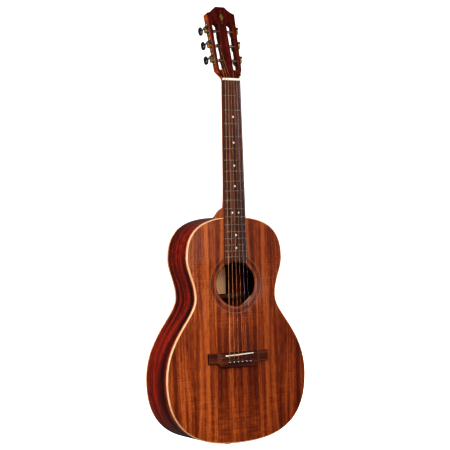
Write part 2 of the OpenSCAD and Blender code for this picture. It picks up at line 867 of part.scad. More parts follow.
module gear(n) {
    color("#c79a4b")
        at_unit(n) {
            difference() {
                union() {
                    translate([worm_out - gear_w / 2, 0, 0])
                        rotate([0, 90, 0])
                            linear_extrude(gear_w)
                                polygon([for (i = [0:gear_teeth - 1]) each tooth(i + 0.5)]);
                    bar_x(plate_thick + 0.15, worm_out, 3.8);
                }
                bar_x(0, worm_out + gear_w, 2);
            }
            difference() {
                bar_x(worm_out + gear_w / 2, worm_out + gear_w / 2 + 1.3, 2.7);
                box([worm_out + gear_w / 2 + 0.7, -3, -0.3], [worm_out + gear_w / 2 + 2, 3, 0.3]);
            }
        }
}
module roller(n) {
    color("#b9b6ae")
        at_unit(n)
            difference() {
                union() {
                    bar_x(end_of_roller(n), plate_thick + 0.15, roller_r);
                    bar_x(plate_thick, worm_out + gear_w / 2, 2);
                }
                post(wrap_start(n) - string_hole_r - 0.3 - head_half(roller_s(n)), 0, -5, 5,
                    string_hole_r);
            }
}
// turns of string on a roller, between its hole and the taut string
module winding(n) {
    r = string_r[n];
    turns = wrap_turns(n);
    color(n < 3 ? "#c9c9c6" : "#a8763f")
        at_unit(n)
            translate([wrap_start(n) - head_half(roller_s(n)), 0, 0])
                rotate([0, 90, 0])
                    rotate_extrude()
                        polygon(concat([[roller_r, 0]],
                            [for (i = [0:turns - 1]) each [[roller_r + 1.2 * r, 2 * r * i],
                                [roller_r + 2 * r, 2 * r * i + r]]],
                            [[roller_r + 1.2 * r, 2 * r * turns], [roller_r, 2 * r * turns]]));
}

// ---- strings ----
string_sides = 12;
ball_r = 1.9;
ball_len = 4;
ball_lift = 1.65;           // from the string's line to the ball's middle, clear of the pin
function unit(v) = v / norm(v);
// section of a taut string at point i of its path, mitred between its two directions
function string_ring(path, i, r) =
    let (a = unit(path[i] - path[max(i - 1, 0)] + (i == 0 ? path[1] - path[0] : [0, 0, 0])),
         b = i == len(path) - 1 ? a : unit(path[i + 1] - path[i]),
         t = unit(a + b),
         u = unit(cross([1, 0, 0], t)),
         v = cross(t, u))
    [for (j = [0:string_sides - 1]) let (c = 360 * j / string_sides)
        path[i] + r * (u * cos(c) / (t * b) - v * sin(c))];
module one_string(n) {
    path = [at_ball(n), at_hole(n), at_saddle(n), at_nut(n), from_head(at_roller(n))];
    loft([for (i = [0:len(path) - 1]) string_ring(path, i, string_r[n])]);
    translate(at_ball(n) + [-ball_len / 2, 0, ball_lift])
        rotate([0, 90, 0])
            cylinder(h = ball_len, r = ball_r);
}
module wound_strings() {
    color("#a8763f")
        for (n = [3:6])
            one_string(n);
}
module plain_strings() {
    color("#d0d0ce")
        for (n = [1:2])
            one_string(n);
}

soundboard();
back();
side(-1);  // side_bass
side(1);  // side_treble
top_binding();
back_binding();
linings();
neck_block();
tail_block();
top_braces();
back_braces();
bridge_plate();
rosette();
neck();
heel_cap();
headstock();
head_veneer();
truss_rod();
fingerboard();
frets();
inlays();
nut();
saddle();
bridge();
bridge_pins();
strap_button();
tuner_plates();
tuner_screws();
wound_strings();
plain_strings();
worm(1);  // worm_1
worm(2);  // worm_2
worm(3);  // worm_3
worm(4);  // worm_4
worm(5);  // worm_5
worm(6);  // worm_6
button(1);  // button_1
button(2);  // button_2
button(3);  // button_3
button(4);  // button_4
button(5);  // button_5
button(6);  // button_6
gear(1);  // gear_1
gear(2);  // gear_2
gear(3);  // gear_3
gear(4);  // gear_4
gear(5);  // gear_5
gear(6);  // gear_6
roller(1);  // roller_1
roller(2);  // roller_2
roller(3);  // roller_3
roller(4);  // roller_4
roller(5);  // roller_5
roller(6);  // roller_6
winding(1);  // winding_1
winding(2);  // winding_2
winding(3);  // winding_3
winding(4);  // winding_4
winding(5);  // winding_5
winding(6);  // winding_6
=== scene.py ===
# %% [markdown]
# # A twelve-fret parlour guitar
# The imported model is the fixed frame: every node keeps its place, its size and its body. This lesson dresses
# it, piece by piece, in the order that a guitar maker would name them: body, neck, head, strings.

# %% Load the frame
import math

import bmesh
import bpy
from mathutils import Matrix, Vector
from mathutils.geometry import tessellate_polygon


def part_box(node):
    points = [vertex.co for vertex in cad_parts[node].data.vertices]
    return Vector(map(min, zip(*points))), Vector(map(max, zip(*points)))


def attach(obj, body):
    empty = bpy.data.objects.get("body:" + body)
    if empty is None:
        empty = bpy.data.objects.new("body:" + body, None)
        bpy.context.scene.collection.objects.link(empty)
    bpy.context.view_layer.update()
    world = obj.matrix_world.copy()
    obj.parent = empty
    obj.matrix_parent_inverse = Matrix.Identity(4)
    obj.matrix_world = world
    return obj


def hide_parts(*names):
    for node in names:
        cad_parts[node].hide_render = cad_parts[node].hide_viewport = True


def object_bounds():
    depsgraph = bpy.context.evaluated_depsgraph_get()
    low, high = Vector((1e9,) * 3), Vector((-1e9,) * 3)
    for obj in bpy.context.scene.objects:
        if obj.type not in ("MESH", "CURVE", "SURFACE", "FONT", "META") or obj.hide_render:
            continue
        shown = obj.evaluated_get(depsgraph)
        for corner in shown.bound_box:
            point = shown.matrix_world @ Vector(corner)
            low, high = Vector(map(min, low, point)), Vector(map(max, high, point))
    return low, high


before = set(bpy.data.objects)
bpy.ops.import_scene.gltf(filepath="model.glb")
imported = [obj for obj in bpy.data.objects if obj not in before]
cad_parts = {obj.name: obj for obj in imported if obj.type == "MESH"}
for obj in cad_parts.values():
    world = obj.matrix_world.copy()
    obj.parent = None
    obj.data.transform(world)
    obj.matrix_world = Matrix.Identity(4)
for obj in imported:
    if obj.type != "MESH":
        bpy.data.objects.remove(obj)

cad_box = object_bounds()
scene = bpy.context.scene
mm = 0.001

# %% [markdown]
# ## Sizes
# The plates and edges are thin, and their places follow from the frame's boxes. Reading them there means that
# a wider body or a longer neck still gets pieces that fit.

# %% Sizes read from the frame
board_low, board_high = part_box("soundboard")
rim_low, rim_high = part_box("top_binding")
nut_low, nut_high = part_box("nut")
ring_low, ring_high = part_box("rosette")
bridge_low, bridge_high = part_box("bridge")

face_y = board_low.y                      # outer face of the soundboard
top_t = board_high.y - board_low.y
side_t = rim_high.x - board_high.x
tail_z, neck_z = rim_low.z, rim_high.z
body_len = neck_z - tail_z
lower_half = rim_high.x
bind_h = rim_high.y - rim_low.y
depth_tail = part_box("back_binding")[1].y - face_y
depth_neck = 91 * mm
nut_z = nut_low.z
nut_half = nut_high.x
scale_len = 2 * (nut_z - neck_z)
hole_z = (ring_low.z + ring_high.z) / 2
rosette_in, rosette_out, rosette_w = 5.4 * mm, 16.3 * mm, 1.6 * mm
hole_r = ring_high.x - rosette_out
print("string length", round(scale_len, 4), "soundhole radius", round(hole_r, 4))

# %% [markdown]
# ## Camera
# The guitar stands turned a little to its treble side, so that the bass side of the body shows. A long lens
# from three metres keeps the lines of the neck nearly parallel, as in a shop picture.

# %% Camera
view_side = math.radians(-30.63)
view_up = math.radians(-0.26)
view_roll = math.radians(-1.515)
view_far = 2.966
aim = Vector((-24.17 * mm, face_y, 496.1 * mm))
back_way = Vector((math.sin(view_side) * math.cos(view_up),
                   -math.cos(view_side) * math.cos(view_up),
                   math.sin(view_up)))
right_way = Vector((math.cos(view_side), math.sin(view_side), 0))
up_way = back_way.cross(right_way)
rolled_right = right_way * math.cos(view_roll) + up_way * math.sin(view_roll)
rolled_up = up_way * math.cos(view_roll) - right_way * math.sin(view_roll)

lens = bpy.data.cameras.new("camera")
lens.lens = 106.5
lens.sensor_width = 36
camera = bpy.data.objects.new("camera", lens)
camera.matrix_world = Matrix.Translation(aim + back_way * view_far) @ Matrix(
    (rolled_right, rolled_up, back_way)).transposed().to_4x4()
scene.collection.objects.link(camera)
scene.camera = camera
print("camera height", round(camera.matrix_world.translation.z, 3))

# %% [markdown]
# ## Light and floor
# A studio for a glossy wooden object needs large soft lights: each of them is seen again in the lacquer, so a
# small lamp would leave a hard spot. The front and left panels carry most of the light, a weak one lays a
# sheen on the top, the right and upper ones open the edges, and the rear one lights the back. The surround is
# white where the camera sees it and dim for everything else, so that it doesn't wash out the dark woods.

# %% Light and floor
def soft_panel(name, place, target, width, height, power):
    data = bpy.data.lights.new(name, "AREA")
    data.shape = "RECTANGLE"
    data.size = width
    data.size_y = height
    data.energy = power
    lamp = bpy.data.objects.new(name, data)
    lamp.location = place
    lamp.rotation_euler = (Vector(target) - Vector(place)).to_track_quat("-Z", "Y").to_euler()
    scene.collection.objects.link(lamp)


# name, place, height aimed at, width, height, power
panels = (
    ("panel_front", (-0.55, -2.5, 1.0), 0.45, 0.9, 1.2, 30),
    ("panel_left", (-1.9, -0.5, 0.9), 0.45, 0.9, 1.4, 42),
    ("panel_sheen", (0.85, -2.1, 0.85), 0.5, 0.45, 1.2, 4.5),
    ("panel_right", (2.0, -0.7, 0.9), 0.5, 0.7, 1.4, 16),
    ("panel_top", (-0.2, -0.1, 2.5), 0.5, 1.6, 1.6, 6),
    ("panel_rear", (1.8, 1.2, 2.0), 0.4, 1.4, 1.2, 55),
)
for name, place, aimed_at, width, height, power in panels:
    soft_panel(name, place, (0, 0, aimed_at), width, height, power)

surround = bpy.data.worlds.new("surround")
surround.use_nodes = True
sky = surround.node_tree
sky.nodes["Background"].inputs["Color"].default_value = (1, 1, 1, 1)
rays = sky.nodes.new("ShaderNodeLightPath")
strength = sky.nodes.new("ShaderNodeMapRange")
strength.inputs["To Min"].default_value = 0.08
sky.links.new(rays.outputs["Is Camera Ray"], strength.inputs["Value"])
sky.links.new(strength.outputs[0], sky.nodes["Background"].inputs["Strength"])
scene.world = surround
scene.view_settings.view_transform = "Standard"
scene.view_settings.look = "High Contrast"

# %% [markdown]
# ## Building meshes
# Three helpers make nearly everything. A loft joins equal rings of points, and carries a UV map so that grain
# can follow the piece. A plate is a flat outline with holes, stepped in depth, so that its edges can be
# rounded. A lathe turns a profile. Each closed mesh gets its normals worked out from its own shape.

# %% Mesh helpers
def closed_mesh(name, verts, faces, corner_uvs=None):
    data = bpy.data.meshes.new(name)
    data.from_pydata([tuple(v) for v in verts], [], faces)
    if corner_uvs:
        layer = data.uv_layers.new(name="UVMap")
        for loop, uv in zip(layer.data, corner_uvs):
            loop.uv = uv
    shape = bmesh.new()
    shape.from_mesh(data)
    bmesh.ops.recalc_face_normals(shape, faces=shape.faces)
    shape.to_mesh(data)
    shape.free()
    obj = bpy.data.objects.new(name, data)
    scene.collection.objects.link(obj)
    return obj


def loft(name, rings, closed_path=False, uv=None):
    """rings of equal length; uv(i, j) gives a corner's place, with j up to the ring's own length."""
    count, size = len(rings), len(rings[0])
    verts = [p for ring in rings for p in ring]
    faces, uvs = [], []
    for i in range(count if closed_path else count - 1):
        n = (i + 1) % count
        for j in range(size):
            k = (j + 1) % size
            faces.append((i * size + j, i * size + k, n * size + k, n * size + j))
            if uv:
                uvs += [uv(i, j), uv(i, j + 1), uv(i + 1, j + 1), uv(i + 1, j)]
    if not closed_path:
        for first, ring in ((0, 0), ((count - 1) * size, count - 1)):
            faces.append(tuple(first + j for j in range(size)))
            if uv:
                uvs += [uv(ring, j) for j in range(size)]
    return closed_mesh(name, verts, faces, uvs)


def plate(name, levels, place=lambda x, y, z: (x, y, z)):
    """levels: each is (depth, [outline, hole, ...]); a depth may be a function of a point's two numbers."""
    verts, faces = [], []
    for depth, loops in levels:
        for line in loops:
            for a, b in line:
                verts.append(place(a, depth(a, b) if callable(depth) else depth, b))
    sizes = [len(line) for line in levels[0][1]]
    total = sum(sizes)
    for level in range(len(levels) - 1):
        start = level * total
        for size in sizes:
            for j in range(size):
                k = (j + 1) % size
                faces.append((start + j, start + k, start + total + k, start + total + j))
            start += size
    for level in (0, len(levels) - 1):
        flat = [[Vector((a, b, 0)) for a, b in line] for line in levels[level][1]]
        faces += [tuple(level * total + v for v in tri) for tri in tessellate_polygon(flat)]
    return closed_mesh(name, verts, faces)


def in_mm(profile):
    return [(a * mm, b * mm) for a, b in profile]


def upright(x, y, height):
    return (x, y, height)


def lathe(name, profile, place=upright, steps=40):
    """profile: (radius, height) from one pole to the other; place turns (x, y, height) into the frame."""
    verts, faces = [], []
    rows = []
    for radius, height in profile:
        if radius < 1e-9:
            rows.append([len(verts)])
            verts.append(place(0, 0, height))
            continue
        rows.append(list(range(len(verts), len(verts) + steps)))
        for k in range(steps):
            a = 2 * math.pi * k / steps
            verts.append(place(radius * math.cos(a), radius * math.sin(a), height))
    for low, high in zip(rows, rows[1:]):
        for k in range(steps):
            n = (k + 1) % steps
            if len(low) == 1:
                faces.append((low[0], high[n], high[k]))
            elif len(high) == 1:
                faces.append((low[k], low[n], high[0]))
            else:
                faces.append((low[k], low[n], high[n], high[k]))
    for row in (rows[0], rows[-1]):
        if len(row) > 1:
            faces.append(tuple(row))
    return closed_mesh(name, verts, faces)


def joined(name, parts):
    shape = bmesh.new()
    for part in parts:
        shape.from_mesh(part.data)
    data = bpy.data.meshes.new(name)
    shape.to_mesh(data)
    shape.free()
    for part in parts:
        bpy.data.objects.remove(part)
    obj = bpy.data.objects.new(name, data)
    scene.collection.objects.link(obj)
    return obj


def applied(obj):
    """Turns what the modifiers show into the object's own mesh."""
    plain = bpy.data.meshes.new_from_object(obj.evaluated_get(bpy.context.evaluated_depsgraph_get()))
    obj.modifiers.clear()
    obj.data = plain
    return obj


def cut_away(obj, tool):
    cut = obj.modifiers.new("cut", "BOOLEAN")
    cut.object = tool
    cut.operation = "DIFFERENCE"
    applied(obj)
    bpy.data.objects.remove(tool)


# %% [markdown]
# ## Finishing a piece
# Every piece rides on a body, may stand for a node of the frame, and takes its finish from a material.
# Faces are shaded smooth, apart from edges that are really sharp.

# %% Finishing helpers
pieces_made = []


def dress(obj, material, body="root", stands_for=(), sharp=32):
    obj.data.materials.clear()
    obj.data.materials.append(material)
    obj.data.shade_smooth()
    obj.data.set_sharp_from_angle(angle=math.radians(sharp))
    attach(obj, body)
    if stands_for:
        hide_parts(*stands_for)
    pieces_made.append(obj.name)
    print("made", obj.name, len(obj.data.polygons), "faces")
    return obj


def softened(node, material, body="root", width=0.25 * mm, name=None, steps=2):
    """A copy of a frame node, welded, with its sharp edges rounded as handling and polishing leave them."""
    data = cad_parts[node].data.copy()
    shape = bmesh.new()
    shape.from_mesh(data)
    bmesh.ops.remove_doubles(shape, verts=shape.verts, dist=1e-6)
    bmesh.ops.dissolve_limit(shape, angle_limit=math.radians(1), verts=shape.verts, edges=shape.edges)
    shape.to_mesh(data)
    shape.free()
    obj = bpy.data.objects.new(name or node + "_finished", data)
    scene.collection.objects.link(obj)
    bevel = obj.modifiers.new("soft_edges", "BEVEL")
    bevel.width = width
    bevel.segments = steps
    bevel.limit_method = "ANGLE"
    bevel.angle_limit = math.radians(35)
    bevel.use_clamp_overlap = True
    return dress(applied(obj), material, body, [node])


# %% [markdown]
# ## Material helpers
# A finish is a small network of nodes. The helper below adds one node and fills its sockets by name: a number
# or a colour is set on the socket, and another node's output is linked to it.

# %% Material helpers
def new_finish(name, **fixed):
    material = bpy.data.materials.new(name)
    material.use_nodes = True
    tree = material.node_tree
    shader = tree.nodes["Principled BSDF"]
    for key, value in fixed.items():
        shader.inputs[key.replace("_", " ")].default_value = value
    return material, tree, shader


def put(tree, kind, out=0, setup=None, **sockets):
    """Adds a node; a socket is named by its label with _ for a space, or by _0, _1 for its number."""
    node = tree.nodes.new(kind)
    for key, value in (setup or {}).items():
        setattr(node, key, value)
    for key, value in sockets.items():
        found = node.inputs[int(key[1:])] if key[0] == "_" else node.inputs[key.replace("_", " ")]
        if isinstance(value, bpy.types.NodeSocket):
            tree.links.new(value, found)
        else:
            found.default_value = value
    return node.outputs[out]


def own_place(tree):
    return put(tree, "ShaderNodeTexCoord", out=3)


def own_uv(tree):
    return put(tree, "ShaderNodeTexCoord", out=2)


def scaled(tree, place, scale, shift=(0, 0, 0)):
    return put(tree, "ShaderNodeVectorMath", setup={"operation": "MULTIPLY_ADD"},
               _0=place, _1=scale, _2=shift)


def noise(tree, place, detail=3.0, rough=0.55):
    return put(tree, "ShaderNodeTexNoise", Vector=place, Scale=1.0, Detail=detail, Roughness=rough)


def sums(tree, kind, a, b):
    return put(tree, "ShaderNodeMath", setup={"operation": kind}, _0=a, _1=b)


def between(tree, value, low, high, to_low=0.0, to_high=1.0):
    return put(tree, "ShaderNodeMapRange", Value=value, From_Min=low, From_Max=high,
               To_Min=to_low, To_Max=to_high)


def blend_of(tree, kind, share, a, b):
    node = tree.nodes.new("ShaderNodeMix")
    node.data_type = "RGBA"
    node.blend_type = kind
    for index, value in ((0, share), (6, a), (7, b)):
        if isinstance(value, bpy.types.NodeSocket):
            tree.links.new(value, node.inputs[index])
        else:
            node.inputs[index].default_value = value
    return node.outputs[2]


def ramp(tree, value, stops):
    node = tree.nodes.new("ShaderNodeValToRGB")
    line = node.color_ramp.elements
    while len(line) < len(stops):
        line.new(0.5)
    for element, (place, colour) in zip(line, stops):
        element.position = place
        element.color = (*colour, 1)
    tree.links.new(value, node.inputs[0])
    return node.outputs[0]


def relief(tree, shader, height, strength, distance):
    bump = put(tree, "ShaderNodeBump", Height=height, Strength=strength, Distance=distance)
    tree.links.new(bump, shader.inputs["Normal"])


# %% [markdown]
# ## Mahogany
# Ribbon mahogany is cut on the quarter. Its fibres lean one way and then the other in successive growth
# layers, so light and dark stripes run along the board, broken by short ripples, and the open pores lie as
# fine dark dashes along the grain. Stretched noise gives all three: the less it is stretched, the more it is
# a ripple. The same network serves every mahogany piece, with its own colours and its own direction.

# %% Mahogany
def mahogany(name, deep, middle, bright, along, across, place="own", seed=0.0, ripple=0.03, gloss=0.4,
             rough=0.36, stripes=58.0, bookmatched_with_side_shade=False, rosette_band=False, slot_shade=None):
    """along and across are unit vectors of the grain and of the stripes in the piece's own coordinates."""
    material, tree, shader = new_finish(name, Coat_Weight=gloss, Coat_Roughness=0.12, Coat_IOR=1.5,
                                        Specular_IOR_Level=0.3)
    where = own_place(tree) if place == "own" else own_uv(tree)

    def part(direction):
        return put(tree, "ShaderNodeVectorMath", out=1, setup={"operation": "DOT_PRODUCT"},
                   _0=where, _1=direction)

    u, v = part(along), part(across)
    side = sums(tree, "SIGN", v, 0.0)
    if bookmatched_with_side_shade:
        v = sums(tree, "ABSOLUTE", v, 0.0)
    wander = noise(tree, put(tree, "ShaderNodeCombineXYZ", X=sums(tree, "MULTIPLY", u, 4.0),
                             Y=sums(tree, "MULTIPLY", v, 9.0), Z=seed + 3.0), 1.0)
    v = sums(tree, "ADD", v, between(tree, wander, 0.3, 0.7, -0.005, 0.005))

    def grain(fine, long, lift, detail=3.0, rough_=0.55):
        spot = put(tree, "ShaderNodeCombineXYZ", X=sums(tree, "MULTIPLY", v, fine),
                   Y=sums(tree, "MULTIPLY", u, long), Z=seed + lift)
        return noise(tree, spot, detail, rough_)

    wide = grain(stripes, 1.7, 0.0, 2.0)
    narrow = grain(stripes * 3.1, 3.6, 7.0, 2.0)
    hair = grain(900.0, 45.0, 13.0, 3.0, 0.65)
    waves = grain(38.0, 210.0, 21.0, 2.0, 0.6)
    cloud = grain(9.0, 6.0, 31.0, 1.0)
    pores = grain(2100.0, 150.0, 41.0, 1.0, 0.5)
    figure = sums(tree, "ADD", sums(tree, "MULTIPLY", wide, 0.62), sums(tree, "MULTIPLY", narrow, 0.38))
    rippled = sums(tree, "MULTIPLY", between(tree, waves, 0.35, 0.65, -ripple, ripple),
                   between(tree, cloud, 0.45, 0.65))
    figure = sums(tree, "ADD", figure, rippled)
    figure = sums(tree, "ADD", figure, between(tree, cloud, 0.3, 0.7, -0.03, 0.03))
    figure = sums(tree, "ADD", figure, between(tree, hair, 0.3, 0.7, -0.09, 0.09))
    colour = ramp(tree, figure, [(0.38, deep), (0.5, middle), (0.62, bright)])
    # Painted shade: the colour darkens steadily towards the treble side (+X), where less light falls, with a
    # further darker step just on the treble side of the centre joint.
    if bookmatched_with_side_shade:
        leaf = between(tree, part(across), -0.12, 0.16, 0.0, 0.5)
        beside = between(tree, part(across), 0.0, 0.035, 0.5, 0.12)
        leaf = sums(tree, "ADD", leaf, sums(tree, "MULTIPLY", beside, between(tree, side, -0.01, 0.01)))
        colour = blend_of(tree, "MULTIPLY", leaf, colour, (0.5, 0.33, 0.25, 1))
    if rosette_band:
        flat = scaled(tree, where, (1, 0, 1), (0, 0, -hole_z))
        far = put(tree, "ShaderNodeVectorMath", out=1, setup={"operation": "LENGTH"}, _0=flat)
        inner = between(tree, far, hole_r + rosette_in, hole_r + rosette_in + 0.1 * mm)
        band_end = hole_r + rosette_out - rosette_w
        outer = between(tree, far, band_end, band_end + 0.1 * mm, 1.0, 0.0)
        colour = blend_of(tree, "MULTIPLY", sums(tree, "MULTIPLY", inner, outer), colour,
                          (0.72, 0.55, 0.5, 1))
    # Painted shade: the walls and ramps inside the head's slots are darkened, as light hardly reaches into
    # them.
    if slot_shade:
        into, far_in, up, low_up, high_up, half = slot_shade
        painted_slot_shade = sums(tree, "LESS_THAN", part(into), far_in)
        beside_middle = sums(tree, "LESS_THAN", sums(tree, "ABSOLUTE", part(across), 0.0), half)
        above = sums(tree, "GREATER_THAN", part(up), low_up)
        below = sums(tree, "LESS_THAN", part(up), high_up)
        for limit in (beside_middle, above, below):
            painted_slot_shade = sums(tree, "MULTIPLY", painted_slot_shade, limit)
        colour = blend_of(tree, "MULTIPLY", painted_slot_shade, colour, (0.42, 0.26, 0.18, 1))
    specks = between(tree, pores, 0.6, 0.7)
    colour = blend_of(tree, "MULTIPLY", sums(tree, "MULTIPLY", specks, 0.7), colour, (0.25, 0.15, 0.1, 1))
    tree.links.new(colour, shader.inputs["Base Color"])
    tree.links.new(between(tree, hair, 0.3, 0.7, rough - 0.05, rough + 0.07), shader.inputs["Roughness"])
    height = sums(tree, "SUBTRACT", sums(tree, "MULTIPLY", hair, 0.3), specks)
    relief(tree, shader, height, 0.12, 0.0002)
    return material


up_grain, across_x, back_x = (0, 0, 1), (1, 0, 0), (0, 1, 0)
top_wood = mahogany("ribbon_mahogany_top", (0.12, 0.017, 0.002), (0.30, 0.061, 0.009), (0.52, 0.148, 0.032),
                    up_grain, across_x, seed=2.0, ripple=0.042, bookmatched_with_side_shade=True, rosette_band=True,
                    gloss=0.25)
side_wood = mahogany("dark_mahogany_sides", (0.010, 0.001, 0.001), (0.11, 0.006, 0.002),
                     (0.34, 0.030, 0.007), across_x, back_x, place="uv", seed=11.0, gloss=0.6,
                     rough=0.34, stripes=62.0)
back_wood = mahogany("dark_mahogany_back", (0.025, 0.003, 0.001), (0.12, 0.012, 0.004), (0.29, 0.038, 0.012),
                     up_grain, across_x, seed=17.0, gloss=0.6, rough=0.34, bookmatched_with_side_shade=True)
neck_tones = ((0.20, 0.040, 0.009), (0.36, 0.090, 0.022), (0.52, 0.16, 0.048))
neck_wood = mahogany("neck_mahogany", *neck_tones, up_grain, across_x, seed=23.0, gloss=0.4, stripes=120.0)
print("mahogany finishes: 4")

# %% [markdown]
# ## Rosewood, pale woods and head veneer
# Rosewood is close and oily: brown-black and red streaks that run the length of the piece, with a low sheen
# and no lacquer. Maple and spruce are pale and nearly plain, with thin darker lines of late growth.

# %% Other woods
def streaked(name, stops, along, seed, fine=420.0, long=7.0, rough=0.42, coat=0.0, pores=0.4):
    material, tree, shader = new_finish(name, Coat_Weight=coat, Coat_Roughness=0.1, Specular_IOR_Level=0.3)
    where = own_place(tree)
    stretch = tuple(long if a else fine for a in along)
    broad = tuple(long * 0.5 if a else fine * 0.22 for a in along)
    streak = noise(tree, scaled(tree, where, stretch, (seed, seed, seed)), 4.0, 0.65)
    band = noise(tree, scaled(tree, where, broad, (seed + 5, 0, seed)), 3.0, 0.6)
    figure = sums(tree, "ADD", sums(tree, "MULTIPLY", streak, 0.5), sums(tree, "MULTIPLY", band, 0.5))
    colour = ramp(tree, figure, stops)
    dash = tuple(60.0 if a else 2600.0 for a in along)
    speck = between(tree, noise(tree, scaled(tree, where, dash), 1.0, 0.5), 0.6, 0.68)
    colour = blend_of(tree, "MULTIPLY", sums(tree, "MULTIPLY", speck, pores), colour, (0.2, 0.15, 0.12, 1))
    tree.links.new(colour, shader.inputs["Base Color"])
    tree.links.new(between(tree, streak, 0.3, 0.7, rough - 0.06, rough + 0.08), shader.inputs["Roughness"])
    relief(tree, shader, sums(tree, "SUBTRACT", streak, speck), 0.2, 0.00015)
    return material


board_wood = streaked("fingerboard_rosewood", [(0.36, (0.022, 0.005, 0.002)), (0.5, (0.075, 0.021, 0.008)),
                                               (0.64, (0.20, 0.066, 0.032))], (0, 0, 1), 3.0)
bridge_wood = streaked("bridge_rosewood", [(0.4, (0.016, 0.003, 0.001)), (0.5, (0.075, 0.012, 0.003)),
                                           (0.6, (0.17, 0.036, 0.010))], (1, 0, 0), 9.0)
veneer_wood = streaked("head_veneer_rosewood", [(0.38, (0.035, 0.002, 0.001)), (0.5, (0.085, 0.005, 0.002)),
                                                (0.62, (0.15, 0.013, 0.004))], (0, 0, 1), 14.0, coat=0.4,
                       rough=0.36)
maple = streaked("binding_maple", [(0.3, (0.60, 0.34, 0.17)), (0.5, (0.66, 0.40, 0.22)),
                                   (0.7, (0.72, 0.46, 0.27))], (0, 0, 1), 21.0, fine=60.0, long=30.0,
                 coat=0.4, pores=0.0)
spruce = streaked("brace_spruce", [(0.35, (0.30, 0.17, 0.075)), (0.5, (0.42, 0.26, 0.12)),
                                   (0.65, (0.52, 0.35, 0.18))], (1, 0, 0), 27.0, pores=0.1, rough=0.6)
inner_wood = streaked("inner_wood", [(0.35, (0.07, 0.022, 0.008)), (0.5, (0.13, 0.045, 0.017)),
                                     (0.65, (0.19, 0.075, 0.03))], (0, 0, 1), 33.0, rough=0.6)
print("other woods: 6")

# %% [markdown]
# ## Metal, bone, plastic, pearl and paper
# Small parts are told apart by their gloss. Metal gets fine scratches in its roughness, bone a faint cloudy
# yellow, black plastic a soft waxy gloss, and pearl a slow change of tint.

# %% Small materials
def speckled(name, dark, light, size, rough, metal=0.0, coat=0.0, detail=4.0, depth=0.00003, spread=0.08):
    material, tree, shader = new_finish(name, Metallic=metal, Coat_Weight=coat, Coat_Roughness=0.08)
    cloud = noise(tree, scaled(tree, own_place(tree), (size, size, size)), detail, 0.6)
    tree.links.new(ramp(tree, cloud, [(0.35, dark), (0.65, light)]), shader.inputs["Base Color"])
    tree.links.new(between(tree, cloud, 0.3, 0.7, rough - spread, rough + spread), shader.inputs["Roughness"])
    fine = noise(tree, scaled(tree, own_place(tree), (size * 9, size * 9, size * 9)), 2.0)
    relief(tree, shader, fine, 0.15, depth)
    return material


fret_metal = speckled("fret_nickel_silver", (0.30, 0.27, 0.23), (0.44, 0.41, 0.37), 900, 0.26, metal=1.0)
aged_nickel = speckled("aged_nickel", (0.16, 0.14, 0.125), (0.30, 0.27, 0.24), 600, 0.34, metal=1.0)
screw_metal = speckled("screw_nickel", (0.40, 0.38, 0.34), (0.6, 0.57, 0.52), 900, 0.28, metal=1.0)
brass = speckled("gear_brass", (0.55, 0.34, 0.10), (0.80, 0.53, 0.20), 700, 0.28, metal=1.0)
roller_metal = speckled("roller_nickel", (0.55, 0.53, 0.50), (0.74, 0.72, 0.69), 700, 0.26, metal=1.0)
steel = speckled("rod_steel", (0.30, 0.30, 0.31), (0.48, 0.48, 0.5), 500, 0.4, metal=1.0)
bone = speckled("bone", (0.78, 0.72, 0.58), (0.9, 0.87, 0.78), 260, 0.32, coat=0.3)
black_plastic = speckled("black_plastic", (0.006, 0.006, 0.006), (0.016, 0.015, 0.015), 300, 0.25, coat=0.5)
pearl = speckled("pearl_shell", (0.66, 0.68, 0.66), (0.93, 0.9, 0.84), 420, 0.2, coat=0.6)
gold_inlay = speckled("gold_inlay", (0.26, 0.14, 0.03), (0.42, 0.25, 0.08), 500, 0.34, metal=0.6)
fibre = speckled("rosette_fibre", (0.13, 0.10, 0.075), (0.22, 0.17, 0.13), 1500, 0.4, coat=0.1)
plain_steel = speckled("plain_string_steel", (0.30, 0.29, 0.33), (0.42, 0.41, 0.46), 400, 0.3, metal=1.0)
print("small materials: 12")

# %% [markdown]
# ## Body outline
# The outline of a small guitar is four smooth curves a side: tail to lower bout, lower bout to waist, waist
# to upper bout, and upper bout to neck. Every plate, binding and lining is this one line, moved inwards.

# %% Body outline
lower_z = body_len * 0.289
waist_z = body_len * 0.6455
upper_z = body_len * 0.82
waist_half = 103.5 * mm
upper_half = 123 * mm
curve_steps = 30


def bezier(a, b, c, d, t):
    return tuple((1 - t) ** 3 * a[k] + 3 * t * (1 - t) ** 2 * b[k]
                 + 3 * t * t * (1 - t) * c[k] + t ** 3 * d[k] for k in (0, 1))


outline_curves = (
    ((0, 0), (lower_half * 0.395, 0), (lower_half, lower_z * 0.07), (lower_half, lower_z)),
    ((lower_half, lower_z), (lower_half, lower_z + 96 * mm), (waist_half, waist_z - 42 * mm),
     (waist_half, waist_z)),
    ((waist_half, waist_z), (waist_half, waist_z + 36 * mm), (upper_half, upper_z - 29 * mm),
     (upper_half, upper_z)),
    ((upper_half, upper_z), (upper_half, upper_z + 56 * mm), (upper_half * 0.757, body_len), (0, body_len)),
)
half_line = [bezier(*curve, k / curve_steps) for curve in outline_curves for k in range(curve_steps)]
half_line.append((0, body_len))


def half_outline(inset):
    """The treble half of the outline from tail to neck, in the frame's X and Z, moved inwards by inset."""
    points, last = [], len(half_line) - 1
    for k, (x, z) in enumerate(half_line):
        ahead, behind = half_line[min(k + 1, last)], half_line[max(k - 1, 0)]
        run = Vector((ahead[0] - behind[0], ahead[1] - behind[1])).normalized()
        if k in (0, last):
            run = Vector((1 if k == 0 else -1, 0))
        points.append((x - inset * run.y, tail_z + z + inset * run.x))
    return points


def whole_outline(inset):
    half = half_outline(inset)
    return half + [(-x, z) for x, z in half[-2:0:-1]]


